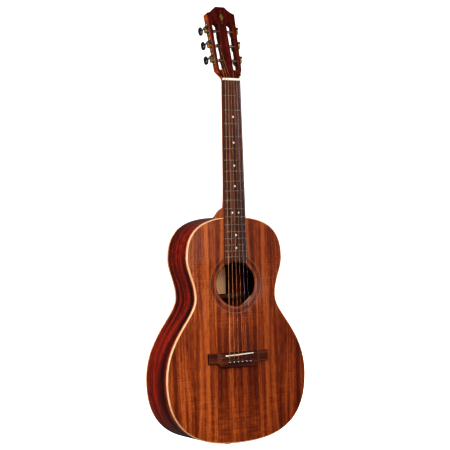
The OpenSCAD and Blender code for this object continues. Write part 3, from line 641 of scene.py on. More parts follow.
def back_face(z, inwards=0.0):
    """Y of a layer of the back, whose plate slopes towards the soundboard at the neck."""
    slope = (depth_tail - depth_neck) / body_len
    return face_y + depth_tail - (z - tail_z) * slope - inwards * math.sqrt(1 + slope * slope)


lengths = [0.0]
for (x0, z0), (x1, z1) in zip(whole_outline(0), whole_outline(0)[1:] + whole_outline(0)[:1]):
    lengths.append(lengths[-1] + math.hypot(x1 - x0, z1 - z0))
print("outline length", round(lengths[-1], 3), "points", len(lengths) - 1)

# %% [markdown]
# ## Floor
# A plain pale floor, far wider than the view, is part of the studio and not of the guitar. It glows a little
# to match the surround, and is left out of bounced light and reflections, so that it doesn't pale the wood.

# %% Floor
floor_finish, floor_tree, floor_shader = new_finish("pale_floor", Roughness=0.8, Emission_Strength=0.9,
                                                     Emission_Color=(1, 1, 1, 1), Specular_IOR_Level=0.0)
paper_noise = noise(floor_tree, own_place(floor_tree), 2.0)
floor_tree.links.new(ramp(floor_tree, paper_noise, [(0.3, (0.90, 0.90, 0.90)), (0.7, (0.93, 0.93, 0.93))]),
                     floor_shader.inputs["Base Color"])
floor_mesh = bpy.data.meshes.new("floor")
floor_ring = [(12 * math.cos(2 * math.pi * k / 96), 12 * math.sin(2 * math.pi * k / 96), cad_box[0][2])
              for k in range(96)]
floor_mesh.from_pydata(floor_ring, [], [tuple(range(96))])
floor = bpy.data.objects.new("floor", floor_mesh)
floor_mesh.materials.append(floor_finish)
scene.collection.objects.link(floor)
floor.visible_diffuse = False
floor.visible_glossy = False
print("floor at", round(cad_box[0][2], 4))

# %% [markdown]
# ## Soundboard
# The top is a thin plate with a round hole, let in flush inside the binding. Its figure is bookmatched: two
# leaves of one board opened like a book and joined down the middle. The hole's edge is sanded round, and that
# small curve is what catches the light, so it is modelled.

# %% Soundboard
hole_steps = 96


def circle_line(radius, centre_z, steps=hole_steps):
    turns = [2 * math.pi * k / steps for k in range(steps)]
    return [(radius * math.cos(a), centre_z + radius * math.sin(a)) for a in turns]


def rounded_levels(y0, y1, outer, hole, soft):
    """Levels of a plate from y0 to y1 whose hole is rounded by soft at both faces."""
    steps = 4
    turned = [math.radians(90 * k / steps) for k in range(steps + 1)]
    front = [(soft * (1 - math.cos(a)), soft * (1 - math.sin(a))) for a in turned]
    levels = [(y0 + deep, grow) for deep, grow in front] + [(y1 - deep, grow) for deep, grow in front[::-1]]
    return [(y, [outer, circle_line(hole + grow, hole_z)]) for y, grow in levels]


top_plate = plate("soundboard_plate", rounded_levels(face_y, face_y + top_t, whole_outline(side_t), hole_r,
                                                     0.9 * mm))
dress(top_plate, top_wood, stands_for=["soundboard"])

# %% [markdown]
# ## Back and sides
# The sides are one thin strip each, bent to the outline, so their grain has to follow the bend. The loft
# gives every point its distance along the rim as a UV, and the same mahogany network reads that. The back is a
# bookmatched pair like the top, a little nearer to the top at the neck than at the tail.

# %% Back and sides
back_outline = whole_outline(side_t)
back_t = 2.6 * mm
back_plate = plate("back_plate", [(lambda x, z: back_face(z), [back_outline]),
                                  (lambda x, z: back_face(z, back_t), [back_outline])])
dress(back_plate, back_wood, stands_for=["back"])


def side_strip(sign):
    outer, inner = half_outline(0), half_outline(side_t)
    rings, columns = [], 6
    for (xo, zo), (xi, zi) in zip(outer, inner):
        front, rear = face_y + bind_h, back_face(zo, bind_h)
        ring = [(sign * xo, front + (rear - front) * k / columns, zo) for k in range(columns + 1)]
        ring += [(sign * xi, rear, zi), (sign * xi, front, zi)]
        rings.append(ring)
    run = [0.0]
    for (x0, z0), (x1, z1) in zip(outer, outer[1:]):
        run.append(run[-1] + math.hypot(x1 - x0, z1 - z0))

    def grain_place(i, j):
        return run[i], rings[i][j % len(rings[i])][1] + (0.3 if sign > 0 else 0)

    return loft("side_bass_bent" if sign < 0 else "side_treble_bent", rings, uv=grain_place)


dress(side_strip(-1), side_wood, stands_for=["side_bass"])
dress(side_strip(1), side_wood, stands_for=["side_treble"])

# %% [markdown]
# ## Bindings and tail seam
# A strip of pale maple covers the corner between plate and side, front and back. After it is glued it is
# scraped flush and its outer corner rounded, so its section is a small rectangle with one soft corner.

# %% Bindings
def binding(name, profile, node):
    """profile: (inset, y, or a function of z that gives y) around the section."""
    lines = [whole_outline(inset) for inset, depth in profile]
    rings = []
    for i in range(len(lines[0])):
        rings.append([(line[i][0], depth(line[i][1]) if callable(depth) else depth, line[i][1])
                      for line, (inset, depth) in zip(lines, profile)])
    obj = loft(name, rings, closed_path=True)
    return dress(obj, maple, stands_for=[node])


corner = 1.3 * mm
front_section = [(side_t, face_y)] + [(corner - corner * math.sin(math.radians(18 * k)),
                                       face_y + corner - corner * math.cos(math.radians(18 * k)))
                                      for k in range(6)] + [(0, face_y + bind_h), (side_t, face_y + bind_h)]
binding("top_binding_strip", front_section, "top_binding")
rear_section = [(side_t, lambda z: back_face(z))] + [
    (corner - corner * math.sin(math.radians(18 * k)),
     lambda z, k=k: back_face(z, corner - corner * math.cos(math.radians(18 * k)))) for k in range(6)
] + [(0, lambda z: back_face(z, bind_h)), (side_t, lambda z: back_face(z, bind_h))]
binding("back_binding_strip", rear_section, "back_binding")

# %% [markdown]
# ## Rosette
# Two thin rings of pale fibre are let into the top around the hole, with the board between them left a shade
# darker. Each ring is turned from a small section with softened corners.

# %% Rosette
def rosette_ring(name, radius):
    deep, soft, proud = 1.0 * mm, 0.2 * mm, 0.03 * mm
    section = [(radius - rosette_w, deep), (radius - rosette_w, soft), (radius - rosette_w + soft, -proud),
               (radius - soft, -proud), (radius, soft), (radius, deep)]
    rings = []
    for k in range(128):
        a = 2 * math.pi * k / 128
        rings.append([(r * math.cos(a), face_y + y, hole_z + r * math.sin(a)) for r, y in section])
    return loft(name, rings, closed_path=True)


inner_ring = rosette_ring("rosette_inner_ring", hole_r + rosette_in)
dress(inner_ring, fibre, stands_for=["rosette"])
outer_ring = rosette_ring("rosette_outer_ring", hole_r + rosette_out)
dress(outer_ring, fibre, stands_for=["rosette"])

# %% [markdown]
# ## Geometry Nodes helpers
# What repeats is left to Geometry Nodes. The tree is built here, its sizes are named inputs of the modifier,
# and the modifier's inputs are set by their identifiers before it is first evaluated. The result is turned
# into a plain mesh at once, so that a piece keeps no instances and no modifiers.

# %% Geometry Nodes helpers
def new_tree(name, inputs):
    """inputs: (name, socket type) pairs; Geometry goes in and comes out."""
    tree = bpy.data.node_groups.new(name, "GeometryNodeTree")
    tree.interface.new_socket("Geometry", in_out="INPUT", socket_type="NodeSocketGeometry")
    tree.interface.new_socket("Geometry", in_out="OUTPUT", socket_type="NodeSocketGeometry")
    for label, kind in inputs:
        tree.interface.new_socket(label, in_out="INPUT", socket_type=kind)
    start = tree.nodes.new("NodeGroupInput")
    end = tree.nodes.new("NodeGroupOutput")
    return tree, start, end


def finish_tree(tree, start, end, geometry):
    plain = put(tree, "GeometryNodeRealizeInstances", Geometry=geometry)
    painted = put(tree, "GeometryNodeSetMaterial", Geometry=plain, Material=start.outputs["Material"])
    tree.links.new(painted, end.inputs[0])


def grown(name, base, tree, values):
    """Runs the tree on the base mesh with these input values and returns the result as a plain object."""
    obj = bpy.data.objects.new(name, base)
    scene.collection.objects.link(obj)
    modifier = obj.modifiers.new("grow", "NODES")
    modifier.node_group = tree
    for item in tree.interface.items_tree:
        if item.item_type == "SOCKET" and item.in_out == "INPUT" and item.name in values:
            modifier[item.identifier] = values[item.name]
    return applied(obj)


def point_cloud(name, points, facings=None):
    data = bpy.data.meshes.new(name)
    data.from_pydata([tuple(p) for p in points], [], [])
    if facings:
        facing = data.attributes.new("facing", "FLOAT_VECTOR", "POINT")
        for item, value in zip(facing.data, facings):
            item.vector = value
    return data


def used_up(obj):
    """A pattern piece leaves the scene once its copies have been made."""
    obj.data.materials.clear()
    bpy.data.objects.remove(obj)


copies_tree, copies_start, copies_end = new_tree("copies_on_points", [
    ("Blank", "NodeSocketObject"), ("Material", "NodeSocketMaterial")])
facing = put(copies_tree, "GeometryNodeInputNamedAttribute", setup={"data_type": "FLOAT_VECTOR"},
             Name="facing")
turned = put(copies_tree, "FunctionNodeAlignRotationToVector", setup={"axis": "Z"}, Vector=facing)
blank = copies_tree.nodes.new("GeometryNodeObjectInfo")
copies_tree.links.new(copies_start.outputs["Blank"], blank.inputs["Object"])
copies = put(copies_tree, "GeometryNodeInstanceOnPoints", Points=copies_start.outputs["Geometry"],
             Instance=blank.outputs["Geometry"], Rotation=turned)
finish_tree(copies_tree, copies_start, copies_end, copies)


def copies_of(name, blank_piece, points, facings, material):
    obj = grown(name, point_cloud(name, points, facings), copies_tree,
                {"Blank": blank_piece, "Material": material})
    used_up(blank_piece)
    return obj


print("tree:", copies_tree.name)

# %% [markdown]
# ## Kerfed linings
# A lining gives the plates a wider edge to be glued to. It is a strip sawn nearly through every few
# millimetres so that it bends round the rim, which makes it a row of small blocks. The tree walks along the
# rim, sets a point at every saw cut, and turns one block to the rim's direction at each.

# %% Kerfed linings
lining_w, lining_h = 6 * mm, 15 * mm
kerf_pitch = 6.4 * mm
block_half = 31.5 * mm

block_profile = [(0, 0), (lining_w, 0), (lining_w, 0.42 * lining_h), (1.6 * mm, lining_h), (0, lining_h)]
kerf_block = loft("kerf_block", [[(along, deep, wide) for wide, deep in block_profile]
                                 for along in (-kerf_pitch * 0.44, kerf_pitch * 0.44)])

kerf_tree, kerf_start, kerf_end = new_tree("blocks_along_a_rim", [
    ("Blank", "NodeSocketObject"), ("Pitch", "NodeSocketFloat"), ("Material", "NodeSocketMaterial")])
path = put(kerf_tree, "GeometryNodeMeshToCurve", Mesh=kerf_start.outputs["Geometry"])
stops = kerf_tree.nodes.new("GeometryNodeResampleCurve")
stops.mode = "LENGTH"
kerf_tree.links.new(path, stops.inputs["Curve"])
kerf_tree.links.new(kerf_start.outputs["Pitch"], stops.inputs["Length"])
tangent = put(kerf_tree, "GeometryNodeInputTangent")
lie = put(kerf_tree, "FunctionNodeAlignRotationToVector", setup={"axis": "X", "pivot_axis": "Y"},
          Vector=tangent)
kerf_blank = kerf_tree.nodes.new("GeometryNodeObjectInfo")
kerf_tree.links.new(kerf_start.outputs["Blank"], kerf_blank.inputs["Object"])
rows = put(kerf_tree, "GeometryNodeInstanceOnPoints", Points=stops.outputs[0],
           Instance=kerf_blank.outputs["Geometry"], Rotation=lie)
finish_tree(kerf_tree, kerf_start, kerf_end, rows)


def rim_path(name, sign, depth):
    """Edge line just inside the side, leaving out what the neck and tail blocks take."""
    line = [(sign * x, z) for x, z in half_outline(side_t) if x > block_half]
    if sign < 0:
        line.reverse()
    data = bpy.data.meshes.new(name)
    data.from_pydata([(x, depth(z), z) for x, z in line], [(k, k + 1) for k in range(len(line) - 1)], [])
    return data


lining_meshes = []
for sign in (-1, 1):
    for label, depth in (("top", lambda z: face_y + top_t), ("back", lambda z: back_face(z, back_t))):
        row = grown(f"lining_{label}_{sign}", rim_path(label, sign, depth), kerf_tree,
                    {"Blank": kerf_block, "Pitch": kerf_pitch, "Material": inner_wood})
        if label == "back":
            for vertex in row.data.vertices:
                vertex.co.y = 2 * depth(vertex.co.z) - vertex.co.y
            row.data.flip_normals()
        lining_meshes.append(row)
used_up(kerf_block)
dress(joined("kerfed_linings", lining_meshes), inner_wood, stands_for=["linings"], sharp=20)

# %% [markdown]
# ## Braces
# Under the top, two long bars cross below the soundhole, with a bar across above it and two tone bars below.
# A brace is a strip set on edge, with its ridge rounded and its ends pared down to almost nothing where they
# meet the lining. Each is lofted from end to end out of one arched section. The top's braces are spruce, and
# the four that cross the back are of a darker wood.

# %% Braces
brace_h = 14 * mm
arch = ((-0.5, 0), (-0.5, 0.55), (-0.32, 0.86), (0, 1), (0.32, 0.86), (0.5, 0.55), (0.5, 0))
inner_line = whole_outline(side_t + lining_w + 0.6 * mm)


def to_edge(x, z, dx, dz):
    """Distance from a point to the inner line, going along (dx, dz)."""
    found = []
    for (x0, z0), (x1, z1) in zip(inner_line, inner_line[1:] + inner_line[:1]):
        ex, ez = x1 - x0, z1 - z0
        cross = dx * ez - dz * ex
        if abs(cross) < 1e-12:
            continue
        run = ((x0 - x) * ez - (z0 - z) * ex) / cross
        share = ((x0 - x) * dz - (z0 - z) * dx) / cross
        if run > 0 and 0 <= share <= 1:
            found.append(run)
    return min(found)


def brace(x, z, turn, wide, tall, surface, inwards, most=1.0):
    """surface(x, z) is the plate's inner face, and inwards is +1 or -1 along Y."""
    dx, dz = math.cos(math.radians(turn)), -math.sin(math.radians(turn))
    ends = (-min(to_edge(x, z, -dx, -dz), most), min(to_edge(x, z, dx, dz), most))
    rings = []
    for k in range(33):
        run = ends[0] + (ends[1] - ends[0]) * k / 32
        near_end = min(max(min(run - ends[0], ends[1] - run) / (38 * mm), 0), 1)
        height = tall * (0.22 + 0.78 * math.sin(near_end * math.pi / 2) ** 1.5)
        ring = []
        for across, up in arch:
            px, pz = x + dx * run - dz * across * wide, z + dz * run + dx * across * wide
            ring.append((px, surface(px, pz) + inwards * up * height, pz))
        rings.append(ring)
    return loft("brace", rings)


def top_inside(x, z):
    return face_y + top_t


def back_inside(x, z):
    return back_face(z, back_t)


cross_z = hole_z - hole_r - 22 * mm
top_bars = [brace(0, cross_z, 41, 7 * mm, brace_h, top_inside, 1),
            brace(0, cross_z, -41, 7 * mm, brace_h, top_inside, 1),
            brace(0, hole_z + hole_r + 19 * mm, 0, 10 * mm, brace_h, top_inside, 1),
            brace(0, tail_z + 92 * mm, 24, 6 * mm, brace_h * 0.6, top_inside, 1, 95 * mm),
            brace(0, tail_z + 50 * mm, 24, 6 * mm, brace_h * 0.6, top_inside, 1, 75 * mm)]
dress(joined("top_bracing", top_bars), spruce, stands_for=["top_braces"])
back_bars = [brace(0, tail_z + share * body_len, 0, 12 * mm, brace_h, back_inside, -1)
             for share in (0.14, 0.4, 0.64, 0.83)]
dress(joined("back_bracing", back_bars), inner_wood, stands_for=["back_braces"])

# %% [markdown]
# ## Blocks, bridge plate, truss rod and label
# These hidden pieces are plain blocks on the real guitar, so the frame's own shapes are kept and only get
# their wood. A slip of tan paper with rounded corners is glued inside the back, below the bass side of the
# soundhole; it carries a thin border and nothing else.

# %% Blocks, bridge plate, truss rod and label
for node, material in (("neck_block", inner_wood), ("tail_block", inner_wood), ("bridge_plate", maple),
                       ("truss_rod", steel)):
    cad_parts[node].data.materials.clear()
    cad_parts[node].data.materials.append(material)

paper, paper_tree, paper_shader = new_finish("label_paper", Roughness=0.7)
paper_spot = own_place(paper_tree)
label_x, label_z = -1 * mm, hole_z + 3 * mm
label_half_w, label_half_h = 29 * mm, 34 * mm
from_middle = put(paper_tree, "ShaderNodeVectorMath", setup={"operation": "ABSOLUTE"},
                  _0=scaled(paper_tree, paper_spot, (1 / label_half_w, 0, 1 / label_half_h),
                            (-label_x / label_half_w, 0, -label_z / label_half_h)))
parts = paper_tree.nodes.new("ShaderNodeSeparateXYZ")
paper_tree.links.new(from_middle, parts.inputs[0])
edge = sums(paper_tree, "MAXIMUM", parts.outputs["X"], parts.outputs["Z"])
border = sums(paper_tree, "MULTIPLY", between(paper_tree, edge, 0.86, 0.865),
              between(paper_tree, edge, 0.895, 0.9, 1.0, 0.0))
fibres = noise(paper_tree, scaled(paper_tree, paper_spot, (700, 700, 700)), 4.0, 0.7)
tint = ramp(paper_tree, fibres, [(0.3, (0.68, 0.38, 0.19)), (0.7, (0.82, 0.50, 0.28))])
paper_tree.links.new(blend_of(paper_tree, "MULTIPLY", sums(paper_tree, "MULTIPLY", border, 0.7), tint,
                              (0.25, 0.12, 0.06, 1)), paper_shader.inputs["Base Color"])


def rounded_box(half_w, half_h, radius, steps=6):
    points = []
    for cx, cz, start in ((half_w, half_h, 0), (-half_w, half_h, 90), (-half_w, -half_h, 180),
                          (half_w, -half_h, 270)):
        for k in range(steps + 1):
            a = math.radians(start + 90 * k / steps)
            points.append((cx - math.copysign(radius, cx) + radius * math.cos(a),
                           cz - math.copysign(radius, cz) + radius * math.sin(a)))
    return points


label_line = [(x + label_x, z + label_z) for x, z in rounded_box(label_half_w, label_half_h, 4 * mm)]
label = plate("paper_label", [(lambda x, z: back_face(z, back_t) - 0.25 * mm, [label_line]),
                              (lambda x, z: back_face(z, back_t), [label_line])])
dress(label, paper)

# %% [markdown]
# ## Neck and heel
# The neck is carved from one piece. Its shaft is a half oval, and it flows into a heel that runs back along
# the body's end. Here both are rules that say how far out the wood reaches, and a soft union of the two is
# cut at many heights. On each cut, rays from the fingerboard's middle find the surface, so the two shapes
# melt together as a carver would leave them.

# %% Neck and heel
heel_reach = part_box("heel_cap")[0].y - face_y
neck_d_nut, neck_d_heel = 15 * mm, 17.5 * mm
board_w12 = 53.8 * mm


def board_half(z):
    return nut_half + (board_w12 / 2 - nut_half) * (nut_z - z) / (scale_len / 2)


def shaft_depth(z):
    return neck_d_nut + (neck_d_heel - neck_d_nut) * (nut_z - z) / (scale_len / 2)


def heel_share(depth):
    return min(max((depth - 4 * mm) / (heel_reach - 4 * mm), 0.0), 1.0)


def heel_half(t):
    return (26.5 - 16.5 * t ** 0.8) * mm


def heel_up(t):
    return (23.5 + 42 * (1 - t) ** 7 - 20 * t ** 5) * mm


def wood_reach(x, depth, z):
    """Under 1 inside the neck: a soft union of the shaft and the heel."""
    shaft = (x / board_half(z)) ** 2 + (depth / shaft_depth(z)) ** 2
    t = heel_share(depth)
    heel = (x / heel_half(t)) ** 2 + (max(z - neck_z, 0) / heel_up(t)) ** 2
    power = 4
    return (max(shaft, 1e-6) ** -power + max(heel, 1e-6) ** -power) ** (-1 / power)


def cut_of_neck(z, rays=48):
    ring = []
    for k in range(rays + 1):
        a = math.pi * k / rays
        near, far = 0.0, heel_reach / max(math.sin(a), 0.25)
        limit = heel_reach / max(math.sin(a), 1e-3)
        for step in range(26):
            middle = (near + far) / 2
            if wood_reach(middle * math.cos(a), middle * math.sin(a), z) < 1:
                near = middle
            else:
                far = middle
        reach = min(near, limit)
        ring.append((reach * math.cos(a), face_y + reach * math.sin(a), z))
    return ring


heights = [neck_z - 3 * mm, neck_z]
heights += [neck_z + heel_up(1 - k / 60) for k in range(61)]
heights += [neck_z + heel_up(0) + 4 * mm * k for k in range(1, 12)]
plain_shaft_z = neck_z + 110 * mm
heights += [plain_shaft_z + (nut_z - plain_shaft_z) * k / 16 for k in range(17)]
heights = sorted(set(round(h, 5) for h in heights))
neck = loft("neck_and_heel", [cut_of_neck(z) for z in heights])
dress(neck, neck_wood, stands_for=["neck"], sharp=60)

cap_t = 2 * mm
cap_turns = [math.radians(6 * k) for k in range(31)]
cap_line = [(heel_half(1) * math.cos(a), neck_z + heel_up(1) * math.sin(a)) for a in cap_turns]
cap_line += [(-heel_half(1), neck_z - 1 * mm), (heel_half(1), neck_z - 1 * mm)]
inner_cap = [(x * 0.94, neck_z + (z - neck_z) * 0.8) for x, z in cap_line]
heel_cap = plate("heel_cap_slip", [(face_y + heel_reach, [cap_line]),
                                   (face_y + heel_reach + cap_t * 0.7, [cap_line]),
                                   (face_y + heel_reach + cap_t, [inner_cap])])
dress(heel_cap, veneer_wood, stands_for=["heel_cap"])

# %% [markdown]
# ## Headstock
# The head leans back, and two long slots run through it. A ramp at the foot of each slot lets the strings
# down to the rollers. The plate is drawn in the head's own flat frame, stepped in depth, and then leaned
# back. Near the nut its back edge is rounded so much that it meets the half oval of the neck. The slots'
# walls are darkened with painted shade, and the finish finds them by the piece's own coordinates.

# %% Headstock
head_tilt = math.radians(14.3)
head_t, veneer_t = 19 * mm, 2 * mm
head_y = face_y - 4.85 * mm
head_len = 176.8 * mm
shoulder_half, corner_half, crown_half = 31 * mm, 35.6 * mm, 11.6 * mm
shoulder_s, corner_s = 28.6 * mm, head_len - 16 * mm
slot_in, slot_out = 9.4 * mm, 27.4 * mm
slot_s0, slot_s1 = 27 * mm, 140.4 * mm
ramp_s0, ramp_slope = 11 * mm, math.tan(math.radians(17))
head_foot = 5.5 * mm
nut_deep = nut_high.z - nut_low.z


def on_head(x, deep, up):
    return (x, head_y + deep * math.cos(head_tilt) + up * math.sin(head_tilt),
            nut_z - deep * math.sin(head_tilt) + up * math.cos(head_tilt))


def ease(t):
    return (1 - math.cos(math.pi * t)) / 2


def head_half_line():
    points = [(nut_half + (shoulder_half - nut_half) * ease(k / 16),
               head_foot + (shoulder_s - head_foot) * k / 16) for k in range(17)]
    points += [(corner_half - (corner_half - crown_half) * k / 16,
                corner_s + (head_len - corner_s) * (0.35 * k / 16 + 0.65 * (k / 16) ** 2)) for k in range(17)]
    crest = points[-1]
    return points + [(crest[0] * (1 - k / 4), crest[1]) for k in range(1, 4)]


def head_outline(inset, foot):
    """Outline moved inwards; inset may be a function of the height; foot is where it starts at the nut."""
    right = [(nut_half, foot)] + [p for p in head_half_line() if p[1] > foot + 0.4 * mm]
    line = right + [(0, right[-1][1])] + [(-x, s) for x, s in right[::-1]]
    moved = []
    for k, (x, s) in enumerate(line):
        ahead, behind = line[min(k + 1, len(line) - 1)], line[max(k - 1, 0)]
        run = Vector((ahead[0] - behind[0], ahead[1] - behind[1])).normalized()
        if k in (0, len(line) - 1):
            run = Vector((0, 1 if k == 0 else -1))
        d = inset(s) if callable(inset) else inset
        moved.append((x - d * run.y, s + d * run.x))
    return moved


def slot_line(side, deep, steps=14):
    """A slot's edge at this depth, with the ramp pushing its foot towards the nut near the face."""
    middle, r = side * (slot_in + slot_out) / 2, (slot_out - slot_in) / 2
    points = [(middle + r * math.cos(math.pi * k / steps), slot_s1 - r + r * math.sin(math.pi * k / steps))
              for k in range(steps + 1)]
    ramp_at = ramp_s0 + max(deep, 0) / ramp_slope
    for k in range(steps + 1):
        a = math.pi + math.pi * k / steps
        normal_s = slot_s0 + r + r * math.sin(a)
        x = r * math.cos(a)
        on_ramp = abs(x) < r - 0.4 * mm
        points.append((middle + x, min(normal_s, max(ramp_at, ramp_s0)) if on_ramp else normal_s))
    return points


def head_levels(depths, foot_of, inset_of):
    return [(y, [head_outline(inset_of(k), foot_of(k)), slot_line(-1, y), slot_line(1, y)])
            for k, y in enumerate(depths)]


def head_plate(name, levels):
    return plate(name, levels, on_head)


ramp_end = (slot_s0 + 9 * mm - ramp_s0) * ramp_slope
soft = 0.5 * mm
veneer_foot = nut_deep / math.cos(head_tilt) + 0.1 * mm
veneer_steps = [(0, soft), (soft * 0.3, soft * 0.3), (soft, 0), (veneer_t, 0)]
veneer = head_plate("head_veneer_leaf", head_levels([y for y, d in veneer_steps], lambda k: veneer_foot,
                                                    lambda k: veneer_steps[k][1]))
dress(veneer, veneer_wood, stands_for=["head_veneer"])


def back_round(s):
    """Radius of the head's back edge: large at the nut, small from the shoulders up."""
    return 1.2 * mm + 12.5 * mm * (1 - ease(min(max((s - 4 * mm) / (26 * mm), 0), 1)))


wood_depths = [veneer_t, 3.2 * mm, 4.6 * mm, ramp_end * 0.8]
rounding = [math.radians(90 * k / 8) for k in range(9)]
levels = []
for y in wood_depths:
    levels.append((y, [head_outline(0, 0.6 * mm + y * math.tan(head_tilt)),
                       slot_line(-1, y), slot_line(1, y)]))
for a in rounding:
    line = head_outline(lambda s, a=a: back_round(s) * (1 - math.cos(a)), 4.4 * mm)
    depth_rule = (lambda x, s, a=a: max(head_t - back_round(s) * (1 - math.sin(a)),
                                        wood_depths[-1] + 0.2 * mm))
    levels.append((depth_rule, [line, slot_line(-1, head_t), slot_line(1, head_t)]))
headstock = head_plate("headstock_block", levels)


def side_of(n):
    return -1 if n > 3 else 1


roller_s0, roller_pitch, roller_depth, roller_r = 50.4 * mm, 35 * mm, 10.4 * mm, 3 * mm


def roller_s(n):
    return roller_s0 + roller_pitch * (6 - n if n > 3 else n - 1)


flare = math.atan((corner_half - shoulder_half) / (corner_s - shoulder_s))


def head_half(s):
    return shoulder_half + (s - shoulder_s) * math.tan(flare)


def unit_place(n):
    """Places a machine's own frame (X outwards, Y into the wood, Z up the head) on the head's side."""
    s = roller_s(n)
    turn = Matrix.Rotation(flare, 4, "Y")
    here = Matrix.Translation((head_half(s), roller_depth, s)) @ turn
    mirror = Matrix.Diagonal((side_of(n), 1, 1, 1))
    lean = Matrix.Translation((0, head_y, nut_z)) @ Matrix.Rotation(-head_tilt, 4, "X")
    return lean @ mirror @ here


drills = []
for n in range(1, 7):
    place = unit_place(n)
    rings = [[tuple(place @ Vector((x, (roller_r + 0.06 * mm) * math.cos(2 * math.pi * k / 32),
                                    (roller_r + 0.06 * mm) * math.sin(2 * math.pi * k / 32))))
              for k in range(32)] for x in (3 * mm, -head_half(roller_s(n)) + 5 * mm)]
    drills.append(loft("drill", rings))
cut_away(headstock, joined("roller_drill", drills))
into_head = (0, math.cos(head_tilt), -math.sin(head_tilt))
up_head = (0, math.sin(head_tilt), math.cos(head_tilt))
head_origin = Vector((0, head_y, nut_z))
into_0, up_0 = head_origin.dot(Vector(into_head)), head_origin.dot(Vector(up_head))
head_wood = mahogany("head_mahogany", *neck_tones, up_grain, across_x, seed=23.0, gloss=0.4, stripes=120.0,
                     slot_shade=(into_head, into_0 + head_t - 0.4 * mm, up_head, up_0 + ramp_s0 - 1 * mm,
                                 up_0 + slot_s1 + 1 * mm, slot_out + 0.2 * mm))
dress(headstock, head_wood, stands_for=["headstock"], sharp=38)

# %% [markdown]
# ## Fingerboard
# The board is a flat slip of rosewood whose face is sanded to part of a large cylinder. Its end is hollowed
# to the soundhole's circle. Each cross line of the loft is slid along until it meets that circle.

# %% Fingerboard
board_t, board_r = 6.5 * mm, 400 * mm
board_end = nut_z - scale_len * 0.6742
fret_count = 18


def crown(x):
    return board_r - math.sqrt(board_r ** 2 - x ** 2)


def board_foot(x):
    hollow = hole_z + math.sqrt(max(hole_r ** 2 - x ** 2, 0))
    return max(board_end, hollow) if abs(x) < hole_r else board_end


def board_ring(share, columns=28, edge=0.5 * mm):
    face, base = [], []
    for k in range(columns + 1):
        u = -math.cos(math.pi * k / columns)
        z_rough = board_end + (nut_z - board_end) * share
        x = u * board_half(z_rough)
        z = board_foot(x) + (nut_z - board_foot(x)) * share
        x = u * board_half(z)
        from_edge = board_half(z) - abs(x)
        drop = edge - math.sqrt(max(edge ** 2 - (edge - min(from_edge, edge)) ** 2, 0))
        face.append((x, face_y - board_t + crown(x) + drop, z))
        base.append((x, face_y, z))
    return face + base[::-1]


board_shares = [0, 0.0012] + [k / 40 for k in range(1, 41)]
board = loft("fingerboard_slip", [board_ring(s) for s in board_shares])
dress(board, board_wood, stands_for=["fingerboard"], sharp=40)

# %% [markdown]
# ## Frets
# Eighteen lengths of wire, each a little longer and a little closer to the next. The tree is given one wire,
# two units long, and does what the fret saw does: it steps down the string length by the twelfth root of two,
# stretches a copy to the board's width there, and bends it to the crown.

# %% Frets
fret_w, fret_h, tang_w, tang_deep = 2.4 * mm, 1.1 * mm, 0.56 * mm, 1.8 * mm
end_slope = 0.6 / 25


def fret_blank():
    """One wire from -1 to 1 along X, with its ends filed to a slope."""
    crest = [math.radians(a) for a in range(15, 180, 15)]
    section = [(-fret_w / 2, 0)] + [(-fret_w / 2 * math.cos(a), fret_h * math.sin(a)) for a in crest]
    section += [(fret_w / 2, 0), (tang_w / 2, 0), (tang_w / 2, -tang_deep), (-tang_w / 2, -tang_deep),
                (-tang_w / 2, 0)]
    rings = []
    for end in [-1 + k / 10 for k in range(21)]:
        ring = []
        for along, up in section:
            pull = end_slope * max(up, 0) / fret_h if abs(end) == 1 else 0
            ring.append((math.copysign(abs(end) - pull, end), -up, along))
        rings.append(ring)
    wire = loft("fret_blank", rings)
    data = wire.data
    bpy.data.objects.remove(wire)
    return data


fret_tree, fret_start, fret_end = new_tree("fret_wires", [
    ("String length", "NodeSocketFloat"), ("Nut height", "NodeSocketFloat"), ("Nut half", "NodeSocketFloat"),
    ("Half growth", "NodeSocketFloat"), ("Face", "NodeSocketFloat"), ("Crown radius", "NodeSocketFloat"),
    ("Count", "NodeSocketInt"), ("Material", "NodeSocketMaterial")])
given = fret_start.outputs
number = sums(fret_tree, "ADD", put(fret_tree, "GeometryNodeInputIndex"), 1.0)
left_share = sums(fret_tree, "POWER", 2.0, sums(fret_tree, "DIVIDE", number, -12.0))
from_nut = sums(fret_tree, "MULTIPLY", given["String length"], sums(fret_tree, "SUBTRACT", 1.0, left_share))
fret_up = sums(fret_tree, "SUBTRACT", given["Nut height"], from_nut)
half_here = sums(fret_tree, "ADD", given["Nut half"], sums(fret_tree, "MULTIPLY", from_nut,
                                                           given["Half growth"]))
line = fret_tree.nodes.new("GeometryNodeMeshLine")
fret_tree.links.new(given["Count"], line.inputs["Count"])
spots = put(fret_tree, "GeometryNodeSetPosition", Geometry=line.outputs[0],
            Position=put(fret_tree, "ShaderNodeCombineXYZ", X=0.0, Y=given["Face"], Z=fret_up))
wires = put(fret_tree, "GeometryNodeInstanceOnPoints", Points=spots, Instance=given["Geometry"],
            Scale=put(fret_tree, "ShaderNodeCombineXYZ", X=half_here, Y=1.0, Z=1.0))
loose = put(fret_tree, "GeometryNodeRealizeInstances", Geometry=wires)
where = fret_tree.nodes.new("GeometryNodeInputPosition")
split = fret_tree.nodes.new("ShaderNodeSeparateXYZ")
fret_tree.links.new(where.outputs[0], split.inputs[0])
squared = sums(fret_tree, "SUBTRACT", sums(fret_tree, "POWER", given["Crown radius"], 2.0),
               sums(fret_tree, "MULTIPLY", split.outputs["X"], split.outputs["X"]))
sag = sums(fret_tree, "SUBTRACT", given["Crown radius"], sums(fret_tree, "SQRT", squared, 0.0))
bent = put(fret_tree, "GeometryNodeSetPosition", Geometry=loose,
           Offset=put(fret_tree, "ShaderNodeCombineXYZ", X=0.0, Y=sag, Z=0.0))
finish_tree(fret_tree, fret_start, fret_end, bent)

